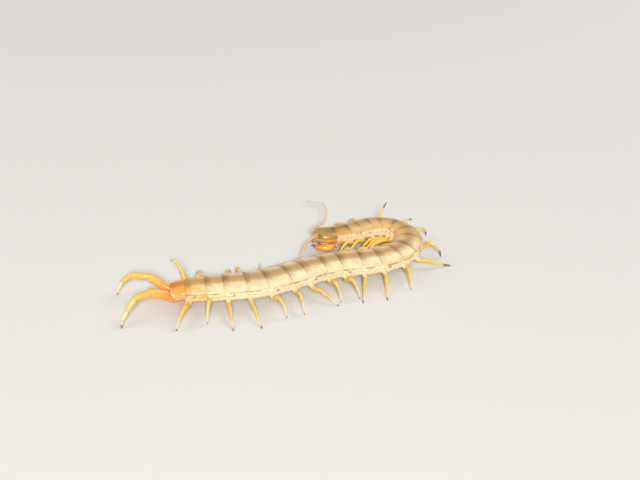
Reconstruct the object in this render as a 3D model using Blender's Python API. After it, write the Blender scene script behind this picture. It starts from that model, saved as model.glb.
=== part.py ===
"""Scolopendra centipede: a still, life-size model that rests on its feet.

Sizes are in millimetres and become metres as each mesh is made.  +Z is up, the
floor is z = 0 and the origin lies under the middle of the whole model.  Places
on the body are given as (s, side, height): s runs back from the front of the
head along the middle line, side is positive to the animal's left.
"""
import math

import bmesh
import bpy
import numpy as np
from mathutils import Matrix, Vector

MM = 0.001
GAP = 0.3                      # between neighbouring pieces
LEFT, RIGHT = 1, -1
SIDE_NAMES = {LEFT: "left", RIGHT: "right"}

# Body
HEAD_LENGTH = 8.2
TRUNK_LENGTH = 122.1
TRUNK_WIDTH = 11.2             # across the widest plates
AXIS_HEIGHT = 4.2              # the body's own axis above the floor
TRUNK_RISE = 4.0               # from that axis to the crest of the back
SEGMENTS = 21
LONG_SEGMENTS = (1, 3, 5, 8, 10, 12, 14, 16, 18, 20)
WIDTH_AT = ((1, 0.80), (3, 0.86), (5, 0.89), (8, 0.94), (11, 0.98), (13, 1.0),
            (17, 1.0), (19, 0.95), (20, 0.89), (21, 0.74))
SLENDER_SHARE = 0.95           # how far the height follows the width

# Half of a trunk section, from the crest round to the belly: side, height
SECTION = ((0.0, 1.0), (0.42, 0.96), (0.76, 0.80), (0.96, 0.58), (1.0, 0.46),
           (0.92, 0.36), (0.96, 0.02), (0.80, -0.52), (0.60, -0.66), (0.0, -0.70))
COXA_TOP, COXA_BOTTOM = 6, 7   # the facet that carries a leg lies between these
GIRTH_ALONG = ((0.08, 1.0), (0.40, 1.0), (0.70, 1.0), (0.96, 1.0))
CREST_ALONG = (0.96, 0.98, 0.99, 1.0)
GROOVE_GIRTH = 0.94
GROOVE_CREST = 0.94
END_EDGE = 0.7                 # from a hind edge to the end of its length of trunk

# Middle line: where the head starts, which way it leaves, and its bends
HEAD_FRONT = (5.26, 16.81)
HEAD_COURSE = 2.0              # degrees from +X
BENDS = ((12.0, 26.6), (8.0, 5.2), (6.0, -25.4), (10.0, -69.0), (10.0, -56.3),
         (10.0, -32.1), (10.0, -16.4), (12.0, 14.0), (14.0, 7.6), (14.0, -18.5),
         (14.0, -4.1), (10.3, -5.1))
FRONT_ROLL = 9.0               # the front of the body leans its back to the right
ROLL_ENDS = (26.0, 48.0)       # stretch of the bend in which the lean fades

# Head: from the front back, half width, crest and underside
HEAD_MIDDLE = 5.05
HEAD_RINGS = ((0.15, 1.5, 5.9, 4.0), (2.0, 3.3, 6.5, 3.65), (3.3, 4.0, 6.8, 3.4),
              (4.9, 4.25, 6.95, 3.35), (6.6, 4.1, 6.9, 3.35), (8.05, 3.8, 6.7, 3.35))
HEAD_SECTION = ((0.0, 1.0), (0.48, 0.93), (0.82, 0.72), (1.0, 0.44), (1.0, -0.44),
                (0.74, -0.86), (0.0, -1.0))
OCELLUS_RADIUS = 0.3
OCELLI = ((2.35, 0.93, 0.62), (2.95, 0.95, 0.66), (2.5, 0.99, 0.15), (3.1, 1.0, 0.2))
PALP_RADIUS = 0.36

# Poison claws and the plate that carries them: s, half width, bottom, top
CLAW_PLATE_RINGS = ((2.8, 1.3, 2.0, 2.6), (3.5, 2.0, 1.6, 2.95), (4.6, 2.2, 1.3, 3.05),
                    (6.95, 2.25, 1.3, 3.05), (7.1, 4.5, 1.3, 3.05), (8.05, 4.4, 1.5, 3.05))
CLAW_PLATE_SECTION = ((0.0, 1.0), (0.72, 0.9), (1.0, 0.4), (1.0, -0.4), (0.75, -0.9),
                      (0.0, -1.0))
FORCIPULE_PATH = ((6.55, 3.7, 2.1), (5.4, 4.3, 1.95), (3.7, 4.4, 1.85), (2.1, 3.7, 1.8),
                  (0.9, 2.4, 1.75), (0.1, 1.1, 1.75))
FORCIPULE_RADII = (1.0, 1.2, 1.08, 0.8, 0.45, 0.12)

# Feelers: (back, side, height) from the front of the head, as it would lie unrolled
ARTICLES = 18
ANTENNA_RADII = (0.52, 0.26)
ANTENNA_GUIDES = {
    RIGHT: ((0.9, -4.5, 5.4), (3.0, -5.8, 6.0), (4.2, -7.0, 6.9), (4.8, -9.9, 7.7),
            (4.5, -13.7, 8.2), (2.8, -17.5, 8.0), (-2.5, -20.1, 7.0)),
    LEFT: ((-1.6, 4.4, 4.3), (-2.8, 7.5, 3.0), (-3.4, 9.6, 1.9), (-5.6, 11.0, 1.0),
           (-8.8, 12.6, 0.65), (-12.0, 14.2, 0.55), (-14.4, 15.4, 0.5))}

# Walking legs
LEG_LENGTH = 11.6              # a leg in the middle of the body
LEG_SIZE_AT = ((1, 0.82), (6, 0.92), (12, 1.0), (18, 1.02), (19, 1.04), (20, 1.10))
HIND_LEG_GIRTH = 1.25
LEG_STATION = 0.84             # how far back along its segment a leg is set
FLOOR_CLEARANCE = 0.05         # under all of a leg but the tip of its claw
PODOMERES = (("trochanter", 0.09, 0.80, 0.76), ("prefemur", 0.24, 0.78, 0.68),
             ("femur", 0.21, 0.64, 0.54), ("tibia", 0.18, 0.50, 0.40),
             ("tarsus 1", 0.14, 0.36, 0.30), ("tarsus 2", 0.08, 0.28, 0.25),
             ("claw", 0.06, 0.19, 0.11))

# Feet: out from the middle line, back from the leg's station, height
RIGHT_FEET = {1: (11.2, -4.0, 0.0), 2: (11.6, -2.3, 0.0), 3: (12.2, -0.5, 0.0),
              4: (10.3, 5.2, 9.0), 5: (14.2, 2.6, 2.0), 6: (12.0, -1.3, 0.0),
              7: (11.9, 2.2, 0.0), 8: (14.8, -7.6, 0.0), 9: (12.9, 4.7, 0.0),
              10: (15.8, 4.1, 0.0), 11: (16.2, 3.4, 0.0), 12: (13.8, -1.8, 0.0),
              13: (13.8, 0.2, 0.0), 14: (15.3, -4.5, 0.0), 15: (14.3, 2.2, 0.0),
              16: (13.8, -1.5, 0.0), 17: (16.8, -1.0, 0.0), 18: (16.6, 0.2, 0.0),
              19: (12.1, 1.4, 0.0), 20: (14.9, 4.2, 0.0)}
LEFT_FEET = {10: (9.4, 4.2, 0.0), 11: (10.2, 4.2, 0.0),
             12: (11.6, 5.0, 0.0), 13: (10.6, 2.0, 0.0), 14: (10.8, 3.0, 0.0),
             15: (11.2, -1.4, 0.0), 16: (16.4, -3.9, 1.2), 17: (13.2, 0.8, 0.0),
             18: (14.0, -3.6, 0.0), 19: (14.2, 2.8, 0.0), 20: (12.8, 5.1, 7.0)}
# Arches of these left legs lean back, in degrees from upright
LEFT_LEAN = {12: 50.0, 13: 65.0, 14: 65.0, 15: 60.0, 17: 15.0}
# The left legs inside the bend are swept towards its mouth and lie over each
# other there: way from the root in degrees from +X, reach, height of the tip
POCKET_FEET = {1: (231.0, 6.2, 0.0), 2: (231.0, 7.0, 0.0), 3: (233.0, 8.4, 0.0),
               4: (234.0, 9.2, 1.4), 5: (227.5, 9.8, 2.2), 6: (223.0, 10.2, 3.4),
               7: (210.0, 9.7, 0.0), 8: (193.0, 9.3, 0.0), 9: (184.0, 7.0, 0.0)}

# Last pair of legs: (back, side, height) of the joints, from the end of the last plate
TERMINAL_ROOT_SIDE = 1.8
TERMINAL_JOINTS = {
    RIGHT: ((5.6, -4.1, 6.6), (9.9, -7.0, 6.7), (12.2, -9.6, 3.9), (13.6, -11.2, 1.7),
            (13.8, -12.6, 0.5), (13.9, -13.2, 0.0)),
    LEFT: ((6.5, 4.7, 6.6), (12.0, 5.7, 6.6), (15.0, 6.4, 3.6), (16.0, 5.0, 1.9),
           (16.3, 4.4, 0.5), (16.5, 4.2, 0.0))}
TERMINAL_PODOMERES = (("prefemur", 1.0, 1.50, 1.40), ("femur", 1.0, 1.28, 1.10),
                      ("tibia", 1.0, 1.04, 0.88), ("tarsus 1", 1.0, 0.78, 0.62),
                      ("tarsus 2", 1.0, 0.54, 0.42), ("claw", 1.0, 0.30, 0.13))

for old in list(bpy.data.objects):
    bpy.data.objects.remove(old)
MODEL = bpy.data.objects.new("centipede", None)
bpy.context.collection.objects.link(MODEL)


def make_material(name, colour, roughness):
    """A horny skin colour."""
    material = bpy.data.materials.new(name)
    material.use_nodes = True
    shader = material.node_tree.nodes["Principled BSDF"]
    shader.inputs["Base Color"].default_value = (*colour, 1.0)
    shader.inputs["Roughness"].default_value = roughness
    material.diffuse_color = (*colour, 1.0)
    return material


SHELL = make_material("plate shell", (0.62, 0.46, 0.24), 0.35)
HEAD_SHELL = make_material("head shell", (0.52, 0.31, 0.08), 0.3)
END_SHELL = make_material("end shell", (0.80, 0.36, 0.08), 0.35)
LEG_SHELL = make_material("leg shell", (0.85, 0.58, 0.14), 0.4)
FEELER_SHELL = make_material("feeler shell", (0.72, 0.47, 0.30), 0.45)
CLAW_SHELL = make_material("poison claw shell", (0.66, 0.28, 0.06), 0.25)


def spine(s):
    """Point of the middle line and its course towards the tail."""
    x, y = HEAD_FRONT
    course = math.radians(HEAD_COURSE)
    left_over = s
    for length, turn in BENDS:
        step = min(left_over, length)
        bend = math.radians(turn) * step / length
        chord = step * np.sinc(bend / math.tau)
        x += chord * math.cos(course + bend / 2)
        y += chord * math.sin(course + bend / 2)
        course += bend
        left_over -= step
        if left_over <= 0:
            return x, y, course
    return (x + left_over * math.cos(course), y + left_over * math.sin(course), course)


def place(s, side, height):
    """A point of the body, in millimetres; ahead of the head it follows its course."""
    x, y, course = spine(max(s, 0.0))
    x += min(s, 0.0) * math.cos(course)
    y += min(s, 0.0) * math.sin(course)
    fade = np.interp(s, ROLL_ENDS, (1.0, 0.0))
    roll = math.radians(FRONT_ROLL) * fade * fade * (3 - 2 * fade)
    up = height - AXIS_HEIGHT
    across = side * math.cos(roll) - up * math.sin(roll)
    lifted = AXIS_HEIGHT + side * math.sin(roll) + up * math.cos(roll)
    return Vector((x + across * math.sin(course), y - across * math.cos(course), lifted))


def beside(s, out, back, height):
    """A point out to one side and back from s, level with the floor."""
    x, y, course = spine(s)
    return Vector((x + out * math.sin(course) + back * math.cos(course),
                   y - out * math.cos(course) + back * math.sin(course), height))


def size_at(table, number):
    """Value of a (number, value) table at a segment or between two."""
    return float(np.interp(number, *zip(*table)))


def segment_length(number):
    """Short and long segments take turns, and those behind the middle are longest."""
    grown = 4.6 + 2.5 * np.clip((number - 3) / 8, 0, 1)
    grown -= 1.5 * np.clip((number - 17) / 4, 0, 1)
    return grown * (1.1 if number in LONG_SEGMENTS else 0.9)


LENGTHS = [segment_length(number) for number in range(1, SEGMENTS + 1)]
LENGTH_SCALE = TRUNK_LENGTH / sum(LENGTHS)
JOINTS = [HEAD_LENGTH + LENGTH_SCALE * sum(LENGTHS[:number]) for number in range(SEGMENTS + 1)]
MIDDLES = [(front + back) / 2 for front, back in zip(JOINTS, JOINTS[1:])]
BODY_END = JOINTS[-1]


def width_share(s):
    """The trunk's width at s as a share of its greatest."""
    return size_at(WIDTH_AT, np.interp(s, MIDDLES, range(1, SEGMENTS + 1)))


def section_point(s, corner, sign, girth=1.0, crest=1.0):
    """A corner of the trunk's section at s."""
    side, height = SECTION[corner]
    share = width_share(s)
    rise = TRUNK_RISE * (1 - SLENDER_SHARE + SLENDER_SHARE * share)
    swell = crest if height > 0.3 else girth
    return place(s, sign * side * share * TRUNK_WIDTH / 2 * girth, AXIS_HEIGHT + height * rise * swell)


def ring_faces(mesh, before, after):
    """Faces of the band between two rings of equally many corners."""
    count = len(before)
    for corner in range(count):
        following = (corner + 1) % count
        mesh.faces.new((before[corner], before[following], after[following], after[corner]))


def loft(name, rings):
    """One closed mesh through rings of points, with flat ends."""
    mesh = bmesh.new()
    corners = [[mesh.verts.new(point * MM) for point in ring] for ring in rings]
    for before, after in zip(corners, corners[1:]):
        ring_faces(mesh, before, after)
    mesh.faces.new(list(reversed(corners[0])))
    mesh.faces.new(corners[-1])
    bmesh.ops.recalc_face_normals(mesh, faces=mesh.faces)
    data = bpy.data.meshes.new(name)
    mesh.to_mesh(data)
    mesh.free()
    return data


def add_object(name, data, material, matrix=None):
    """Put a mesh into the scene under the model's empty."""
    data.materials.append(material)
    data.shade_smooth()
    data.set_sharp_from_angle(angle=math.radians(40))
    piece = bpy.data.objects.new(name, data)
    bpy.context.collection.objects.link(piece)
    piece.parent = MODEL
    if matrix is not None:
        piece.matrix_local = matrix
    return piece


def join_into(piece, extras):
    """Fuse small closed meshes with their piece, so that it stays one closed body."""
    together = bpy.data.collections.new(piece.name + "_extras")
    for extra in extras:
        together.objects.link(extra)
    union = piece.modifiers.new("fuse", "BOOLEAN")
    union.operation = "UNION"
    union.solver = "EXACT"
    union.operand_type = "COLLECTION"
    union.collection = together
    bpy.context.view_layer.update()
    graph = bpy.context.evaluated_depsgraph_get()
    fused = bpy.data.meshes.new_from_object(piece.evaluated_get(graph), depsgraph=graph)
    piece.modifiers.clear()
    piece.data = fused
    for extra in extras:
        bpy.data.objects.remove(extra)
    bpy.data.collections.remove(together)


def tube_rings(path, radii, sides, first_normal=None, last_normal=None):
    """Rings along a path of points, each square to the bend of the path there."""
    steps = [(after - before).normalized() for before, after in zip(path, path[1:])]
    normals = [first_normal or steps[0]]
    normals += [(one + two).normalized() for one, two in zip(steps, steps[1:])]
    normals.append(last_normal or steps[-1])
    across = normals[0].orthogonal().normalized()
    rings = []
    for point, normal, radius in zip(path, normals, radii):
        across = (across - normal * across.dot(normal)).normalized()
        beyond = normal.cross(across)
        turns = [math.tau * corner / sides for corner in range(sides)]
        rings.append([point + (across * math.cos(turn) + beyond * math.sin(turn)) * radius
                      for turn in turns])
    return rings


def resample(points, shares):
    """Points of a path at given shares of its length."""
    runs = np.cumsum([0.0] + [(two - one).length for one, two in zip(points, points[1:])])
    return [Vector([float(np.interp(share * runs[-1], runs, [point[axis] for point in points]))
                    for axis in range(3)]) for share in shares]


def soft_curve(guides):
    """Many points on a soft curve through a few given ones."""
    ends = [guides[0] * 2 - guides[1]] + guides + [guides[-1] * 2 - guides[-2]]
    curve = []
    for before, start, end, after in zip(ends, ends[1:], ends[2:], ends[3:]):
        for t in np.linspace(0, 1, 16, endpoint=False):
            curve.append(0.5 * (2 * start + (end - before) * t
                                + (2 * before - 5 * start + 4 * end - after) * t ** 2
                                + (3 * start - before - 3 * end + after) * t ** 3))
    curve.append(guides[-1])
    return curve


# Head

def section_ring(s, half_width, crest, under, middle, section):
    """A closed ring from a half section."""
    half = []
    for side, height in section:
        reach = crest - middle if height > 0 else middle - under
        half.append((side * half_width, middle + height * reach))
    left = [place(s, side, height) for side, height in half]
    right = [place(s, -side, height) for side, height in half[-2:0:-1]]
    return left + right


def head_point(s, side_share, height_share, sign):
    """A point of the head's skin."""
    stations, *sizes = zip(*HEAD_RINGS)
    half_width, crest, under = (np.interp(s, stations, size) for size in sizes)
    reach = crest - HEAD_MIDDLE if height_share > 0 else HEAD_MIDDLE - under
    return place(s, sign * side_share * half_width, HEAD_MIDDLE + height_share * reach)


def ball(name, centre, radius):
    """A small closed ball for an ocellus."""
    mesh = bmesh.new()
    bmesh.ops.create_icosphere(mesh, subdivisions=1, radius=radius * MM,
                               matrix=Matrix.Translation(centre * MM))
    data = bpy.data.meshes.new(name)
    mesh.to_mesh(data)
    mesh.free()
    return bpy.data.objects.new(name, data)


def add_head():
    """Head plate with four ocelli on each side, and the short palps under its front."""
    rings = [section_ring(s, half, crest, under, HEAD_MIDDLE, HEAD_SECTION)
             for s, half, crest, under in HEAD_RINGS]
    head = add_object("head", loft("head", rings), HEAD_SHELL)
    extras = []
    for sign in (LEFT, RIGHT):
        for s, side, height in OCELLI:
            extras.append(ball("ocellus", head_point(s, side, height, sign), OCELLUS_RADIUS))
        palp = [place(2.5, sign * 0.95, 3.9), place(2.2, sign * 0.9, 3.2),
                place(1.2, sign * 0.8, 3.05), place(0.5, sign * 0.7, 3.0)]
        radii = [PALP_RADIUS, PALP_RADIUS, PALP_RADIUS * 0.9, PALP_RADIUS * 0.5]
        extras.append(bpy.data.objects.new("palp", loft("palp", tube_rings(palp, radii, 6))))
    join_into(head, extras)


def add_poison_claws():
    """The plate under the head and the pair of curved poison claws on it."""
    rings = []
    for s, half, bottom, top in CLAW_PLATE_RINGS:
        rings.append(section_ring(s, half, top, bottom, (bottom + top) / 2, CLAW_PLATE_SECTION))
    add_object("forcipule_base", loft("forcipule_base", rings), CLAW_SHELL)
    for sign in (LEFT, RIGHT):
        guides = [place(s, sign * side, height) for s, side, height in FORCIPULE_PATH]
        shares = np.linspace(0, 1, 9)
        path = resample(soft_curve(guides), shares)
        radii = np.interp(shares, np.linspace(0, 1, len(FORCIPULE_RADII)), FORCIPULE_RADII)
        facing = (place(0, 0, 0) - place(1, 0, 0)).normalized()
        name = f"forcipule_{SIDE_NAMES[sign]}"
        add_object(name, loft(name, tube_rings(path, radii, 8, facing)), CLAW_SHELL)


def add_antenna(sign):
    """A feeler of many short articles, from the slanting corner of the head."""
    (front, narrow, *_), (back, wide, *_) = HEAD_RINGS[:2]
    middle = (front + back) / 2
    root = place(middle, sign * (narrow + wide) / 2, HEAD_MIDDLE)
    along = place(back, sign * wide, HEAD_MIDDLE) - place(front, sign * narrow, HEAD_MIDDLE)
    up = place(middle, 0, HEAD_MIDDLE + 1) - place(middle, 0, HEAD_MIDDLE)
    facing = along.cross(up).normalized() * sign
    root += facing * GAP
    guides = [root, root + facing * 0.9]
    guides += [beside(0.0, side, back, height) for back, side, height in ANTENNA_GUIDES[sign]]
    curve = soft_curve(guides)
    shares, radii = [0.0], [ANTENNA_RADII[0]]
    for article in range(ARTICLES):
        grown = (article + 1) / ARTICLES
        radius = ANTENNA_RADII[0] + (ANTENNA_RADII[1] - ANTENNA_RADII[0]) * grown
        shares += [(article + 0.6) / ARTICLES, grown]
        radii += [radius * 1.06, radius * (0.86 if grown < 1 else 0.5)]
    name = f"antenna_{SIDE_NAMES[sign]}"
    path = resample(curve, shares)
    add_object(name, loft(name, tube_rings(path, radii, 6, facing)), FEELER_SHELL)


# Trunk

def trunk_ring(s, girth, crest, shift=0.0):
    """A section of the trunk, which may be moved straight back a little."""
    back = (place(s + 0.1, 0, AXIS_HEIGHT) - place(s - 0.1, 0, AXIS_HEIGHT)).normalized() * shift
    corners = range(len(SECTION))
    left = [section_point(s, corner, LEFT, girth, crest) for corner in corners]
    right = [section_point(s, corner, RIGHT, girth, crest) for corner in corners[-2:0:-1]]
    return [point + back for point in left + right]


def trunk_rings(first, last):
    """Some whole segments, each with a raised hind edge and a groove behind it."""
    rings = [trunk_ring(JOINTS[first - 1], GROOVE_GIRTH, GROOVE_CREST, GAP / 2)]
    for number in range(first, last + 1):
        front, back = JOINTS[number - 1], JOINTS[number]
        for (share, girth), crest in zip(GIRTH_ALONG, CREST_ALONG):
            rings.append(trunk_ring(front + share * (back - front), girth, crest))
        if number < last:
            rings.append(trunk_ring(back, GROOVE_GIRTH, GROOVE_CREST))
    rings[-1] = trunk_ring(JOINTS[last] - END_EDGE, 1.0, 1.0)
    rings.append(trunk_ring(JOINTS[last], GROOVE_GIRTH, GROOVE_CREST, -GAP / 2))
    return rings


def add_trunk():
    """The long body in lengths of two segments."""
    for first in range(1, SEGMENTS + 1, 2):
        last = min(first + 1, SEGMENTS)
        name = f"trunk_{first:02d}_{last:02d}" if last > first else f"trunk_{first:02d}"
        material = END_SHELL if first == SEGMENTS else SHELL
        add_object(name, loft(name, trunk_rings(first, last)), material)


# Legs

def leg_station(number):
    """Where a leg is set along the body."""
    front, back = JOINTS[number - 1], JOINTS[number]
    return front + LEG_STATION * (back - front)


def leg_root(number, sign):
    """Where a leg meets its facet on the flank, and the way it faces there."""
    s = leg_station(number)
    top = section_point(s, COXA_TOP, sign)
    bottom = section_point(s, COXA_BOTTOM, sign)
    on_flank = top.lerp(bottom, 0.5)
    along = section_point(s + 0.5, COXA_TOP, sign) - section_point(s - 0.5, COXA_TOP, sign)
    facing = (bottom - top).cross(along).normalized() * sign
    return on_flank + facing * GAP, facing


def foot_place(number, sign):
    """Tip of a walking leg."""
    if sign == LEFT and number in POCKET_FEET:
        course, reach, height = POCKET_FEET[number]
        way = Matrix.Rotation(math.radians(course), 3, "Z") @ Vector((reach, 0, 0))
        root = leg_root(number, sign)[0]
        return Vector((root.x + way.x, root.y + way.y, height))
    out, back, height = (LEFT_FEET if sign == LEFT else RIGHT_FEET)[number]
    return beside(leg_station(number), sign * out, back, height)


def leg_curve(root, facing, tip, arch):
    """A path from the flank to the foot, drawn out along the arch vector."""
    away = Vector((tip.x - root.x, tip.y - root.y, 0))
    out = Vector((facing.x, facing.y, 0)).normalized() + away.normalized()
    first = root + out * (0.14 * away.length) + arch * 0.55
    last = tip - away * 0.12 + arch
    curve = []
    for t in np.linspace(0, 1, 41):
        curve.append(root * (1 - t) ** 3 + first * 3 * t * (1 - t) ** 2
                     + last * 3 * t ** 2 * (1 - t) + tip * t ** 3)
    return curve


def path_length(path):
    """Length of a path of points."""
    return sum((two - one).length for one, two in zip(path, path[1:]))


def leg_joints(number, sign):
    """Joints of a leg, whose arch takes up the length that the reach leaves."""
    root, facing = leg_root(number, sign)
    tip = foot_place(number, sign)
    wanted = LEG_LENGTH * size_at(LEG_SIZE_AT, number)
    lean = math.radians(LEFT_LEAN.get(number, 0.0)) if sign == LEFT else 0.0
    course = spine(leg_station(number))[2]
    lift = Vector((math.cos(course) * math.sin(lean), math.sin(course) * math.sin(lean),
                   math.cos(lean)))
    low, high = 0.0, 12.0
    for _ in range(30):
        arch = (low + high) / 2
        if path_length(leg_curve(root, facing, tip, lift * arch)) < wanted:
            low = arch
        else:
            high = arch
    stops = np.cumsum([0.0] + [share for _, share, _, _ in PODOMERES])
    joints = resample(leg_curve(root, facing, tip, lift * arch), stops / stops[-1])
    joints[1] = root + facing * (PODOMERES[0][1] * wanted)
    return joints, facing


def podomere_rings(joints, facing, sizes, girth, sides):
    """Rings of a jointed leg, each length swelling a little towards its far end."""
    path, radii = [joints[0]], [sizes[0][2] * girth]
    for start, end, (_, _, near, far) in zip(joints, joints[1:], sizes):
        path += [start.lerp(end, 0.72), end]
        radii += [(near * 0.25 + far * 0.75) * girth, far * 0.9 * girth]
    for point, radius in zip(path[:-1], radii):
        point.z = max(point.z, radius + FLOOR_CLEARANCE)
    on_floor = Vector((0, 0, -1)) if joints[-1].z == 0.0 else None
    return tube_rings(path, radii, sides, facing, on_floor)


def add_leg(number, sign):
    """A walking leg, set on its facet, with its own origin at its root."""
    joints, facing = leg_joints(number, sign)
    away = joints[-1] - joints[0]
    turned = Matrix.Rotation(math.atan2(away.y, away.x), 4, "Z")
    placed = Matrix.Translation(joints[0] * MM) @ turned
    local = turned.inverted() @ Matrix.Translation(-joints[0])
    girth = HIND_LEG_GIRTH if number == SEGMENTS - 1 else size_at(LEG_SIZE_AT, number)
    rings = podomere_rings(joints, facing, PODOMERES, girth, 6)
    rings = [[local @ point for point in ring] for ring in rings]
    name = f"leg_{SIDE_NAMES[sign]}_{number:02d}"
    add_object(name, loft(name, rings), LEG_SHELL, placed)


def add_terminal_leg(sign):
    """One of the stout last legs, which trail behind the body."""
    root = beside(BODY_END, sign * TERMINAL_ROOT_SIDE, GAP / 2, AXIS_HEIGHT - 0.2)
    joints = [root] + [beside(BODY_END, side, back, height)
                       for back, side, height in TERMINAL_JOINTS[sign]]
    facing = (beside(BODY_END, 0, 1, 0) - beside(BODY_END, 0, 0, 0)).normalized()
    rings = podomere_rings(joints, facing, TERMINAL_PODOMERES, 1.0, 8)
    name = f"terminal_leg_{SIDE_NAMES[sign]}"
    leg = add_object(name, loft(name, rings), END_SHELL)
    inward = (joints[1] - joints[0]).cross(Vector((0, 0, -sign))).normalized()
    base = joints[0].lerp(joints[1], 0.86) + Vector((0, 0, 0.7)) + inward * 0.5
    spike = [base, base + (joints[1] - joints[0]).normalized() * 1.2 + Vector((0, 0, 1.0))]
    process = loft("process", tube_rings(spike, (0.5, 0.2), 6))
    join_into(leg, [bpy.data.objects.new("process", process)])


add_head()
add_poison_claws()
add_trunk()
for side_sign in (LEFT, RIGHT):
    add_antenna(side_sign)
    add_terminal_leg(side_sign)
    for leg_number in range(1, SEGMENTS):
        add_leg(leg_number, side_sign)
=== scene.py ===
"""A life-size museum model of a scolopendra centipede, in its resting pose.

Pieces of the body are modelled straight, in millimetres, and then bent. In that
straight state +X runs back from the front of the head, +Y is the animal's right
and +Z is up from the body's own axis.
"""
import math

import bpy
import numpy as np
from mathutils import Matrix, Vector


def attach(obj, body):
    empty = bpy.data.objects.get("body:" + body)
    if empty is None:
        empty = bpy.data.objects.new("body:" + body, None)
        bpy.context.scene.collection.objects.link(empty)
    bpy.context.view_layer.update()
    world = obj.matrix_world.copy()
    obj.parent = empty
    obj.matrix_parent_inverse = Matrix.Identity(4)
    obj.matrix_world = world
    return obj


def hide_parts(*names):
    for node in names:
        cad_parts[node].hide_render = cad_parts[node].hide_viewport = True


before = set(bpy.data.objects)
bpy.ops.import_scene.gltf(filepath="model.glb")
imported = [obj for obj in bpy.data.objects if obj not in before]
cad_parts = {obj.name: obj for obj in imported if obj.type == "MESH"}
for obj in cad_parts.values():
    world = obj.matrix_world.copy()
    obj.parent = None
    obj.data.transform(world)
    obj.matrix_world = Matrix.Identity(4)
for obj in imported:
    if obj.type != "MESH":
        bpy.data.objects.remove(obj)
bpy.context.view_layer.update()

# The body's middle line
# The long body bends only where plate meets plate, so its middle line is a chain
# of easy arcs. In front it rolls a little, which lays the head over to the right.
MM = 0.001
LEFT, RIGHT = 1, -1
SIDE_NAMES = {LEFT: "left", RIGHT: "right"}
AXIS_HEIGHT = 4.2
HEAD_FRONT = (5.26, 16.81)
HEAD_COURSE = 2.0
BENDS = ((12.0, 26.6), (8.0, 5.2), (6.0, -25.4), (10.0, -69.0), (10.0, -56.3),
         (10.0, -32.1), (10.0, -16.4), (12.0, 14.0), (14.0, 7.6), (14.0, -18.5),
         (14.0, -4.1), (10.3, -5.1))       # length and turn of each arc
FRONT_ROLL = 9.0
ROLL_ENDS = (26.0, 48.0)       # from full roll to none
LINE_STEP = 0.5


def spine(s):
    """Point of the middle line and its course, s back from the front of the head."""
    x, y = HEAD_FRONT
    course = math.radians(HEAD_COURSE)
    left_over = s
    for length, turn in BENDS:
        step = min(left_over, length)
        swing = math.radians(turn) * step / length
        chord = step * np.sinc(swing / math.tau)
        x += chord * math.cos(course + swing / 2)
        y += chord * math.sin(course + swing / 2)
        course += swing
        left_over -= step
        if left_over <= 0:
            return x, y, course
    return x + left_over * math.cos(course), y + left_over * math.sin(course), course


def roll_at(s):
    """How far the body leans over at s, in radians."""
    fade = np.interp(s, ROLL_ENDS, (1.0, 0.0))
    return math.radians(FRONT_ROLL) * fade * fade * (3 - 2 * fade)


def place(s, side, height):
    """A point of the bent body, from its place in the straight one."""
    x, y, course = spine(max(s, 0.0))
    x += min(s, 0.0) * math.cos(course)
    y += min(s, 0.0) * math.sin(course)
    roll, up = roll_at(s), height - AXIS_HEIGHT
    across = side * math.cos(roll) - up * math.sin(roll)
    lifted = AXIS_HEIGHT + side * math.sin(roll) + up * math.cos(roll)
    return Vector((x + across * math.sin(course), y - across * math.cos(course), lifted))


def beside(s, out, back, height):
    """A point out to one side and back from s, level with the floor."""
    x, y, course = spine(s)
    return Vector((x + out * math.sin(course) + back * math.cos(course),
                   y - out * math.cos(course) + back * math.sin(course), height))


def guide(name, points, tilts=None):
    """A bare line for straight pieces to be bent along."""
    data = bpy.data.curves.new(name, "CURVE")
    data.dimensions = "3D"
    data.twist_mode = "Z_UP"
    run = data.splines.new("POLY")
    run.points.add(len(points) - 1)
    for knot, point, tilt in zip(run.points, points, tilts or [0.0] * len(points)):
        knot.co = (*point, 1.0)
        knot.tilt = tilt
    line = bpy.data.objects.new(name, data)
    bpy.context.collection.objects.link(line)
    return line


def apply_modifiers(piece):
    """Make every modifier of a piece part of its mesh."""
    bpy.context.view_layer.objects.active = piece
    for modifier in list(piece.modifiers):
        bpy.ops.object.modifier_apply(modifier=modifier.name)


def bend(piece, line):
    """Bend a straight piece along a guide."""
    curve = piece.modifiers.new("bend", "CURVE")
    curve.object = line
    curve.deform_axis = "POS_X"
    apply_modifiers(piece)


# Segments of the trunk
# Twenty-one segments follow the head, short and long ones in turn. Their plates
# are widest behind the middle and narrow towards both ends of the body.
HEAD_LENGTH = 8.2
TRUNK_LENGTH = 122.1
TRUNK_WIDTH = 11.2
TRUNK_RISE = 4.0
SEGMENTS = 21
LENGTH_AT = ((3, 4.6), (11, 7.1), (17, 7.1), (21, 5.6))    # before all are scaled to fit
LONG_SEGMENTS = (1, 3, 5, 8, 10, 12, 14, 16, 18, 20)
LONG_SHARE, SHORT_SHARE = 1.1, 0.9
WIDTH_AT = ((1, 0.80), (3, 0.86), (5, 0.89), (8, 0.94), (11, 0.98), (13, 1.0),
            (17, 1.0), (19, 0.95), (20, 0.88), (21, 0.67))
SLENDER_SHARE = 0.95           # how closely the rise follows the width
LINE_BEYOND = 8.0              # the middle line runs on behind the body


def size_at(table, number):
    """Value of a (number, value) table at a segment or between two."""
    return float(np.interp(number, *zip(*table)))


def segment_length(number):
    """Length of one segment before all are scaled to the trunk's length."""
    return size_at(LENGTH_AT, number) * (LONG_SHARE if number in LONG_SEGMENTS else SHORT_SHARE)


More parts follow.
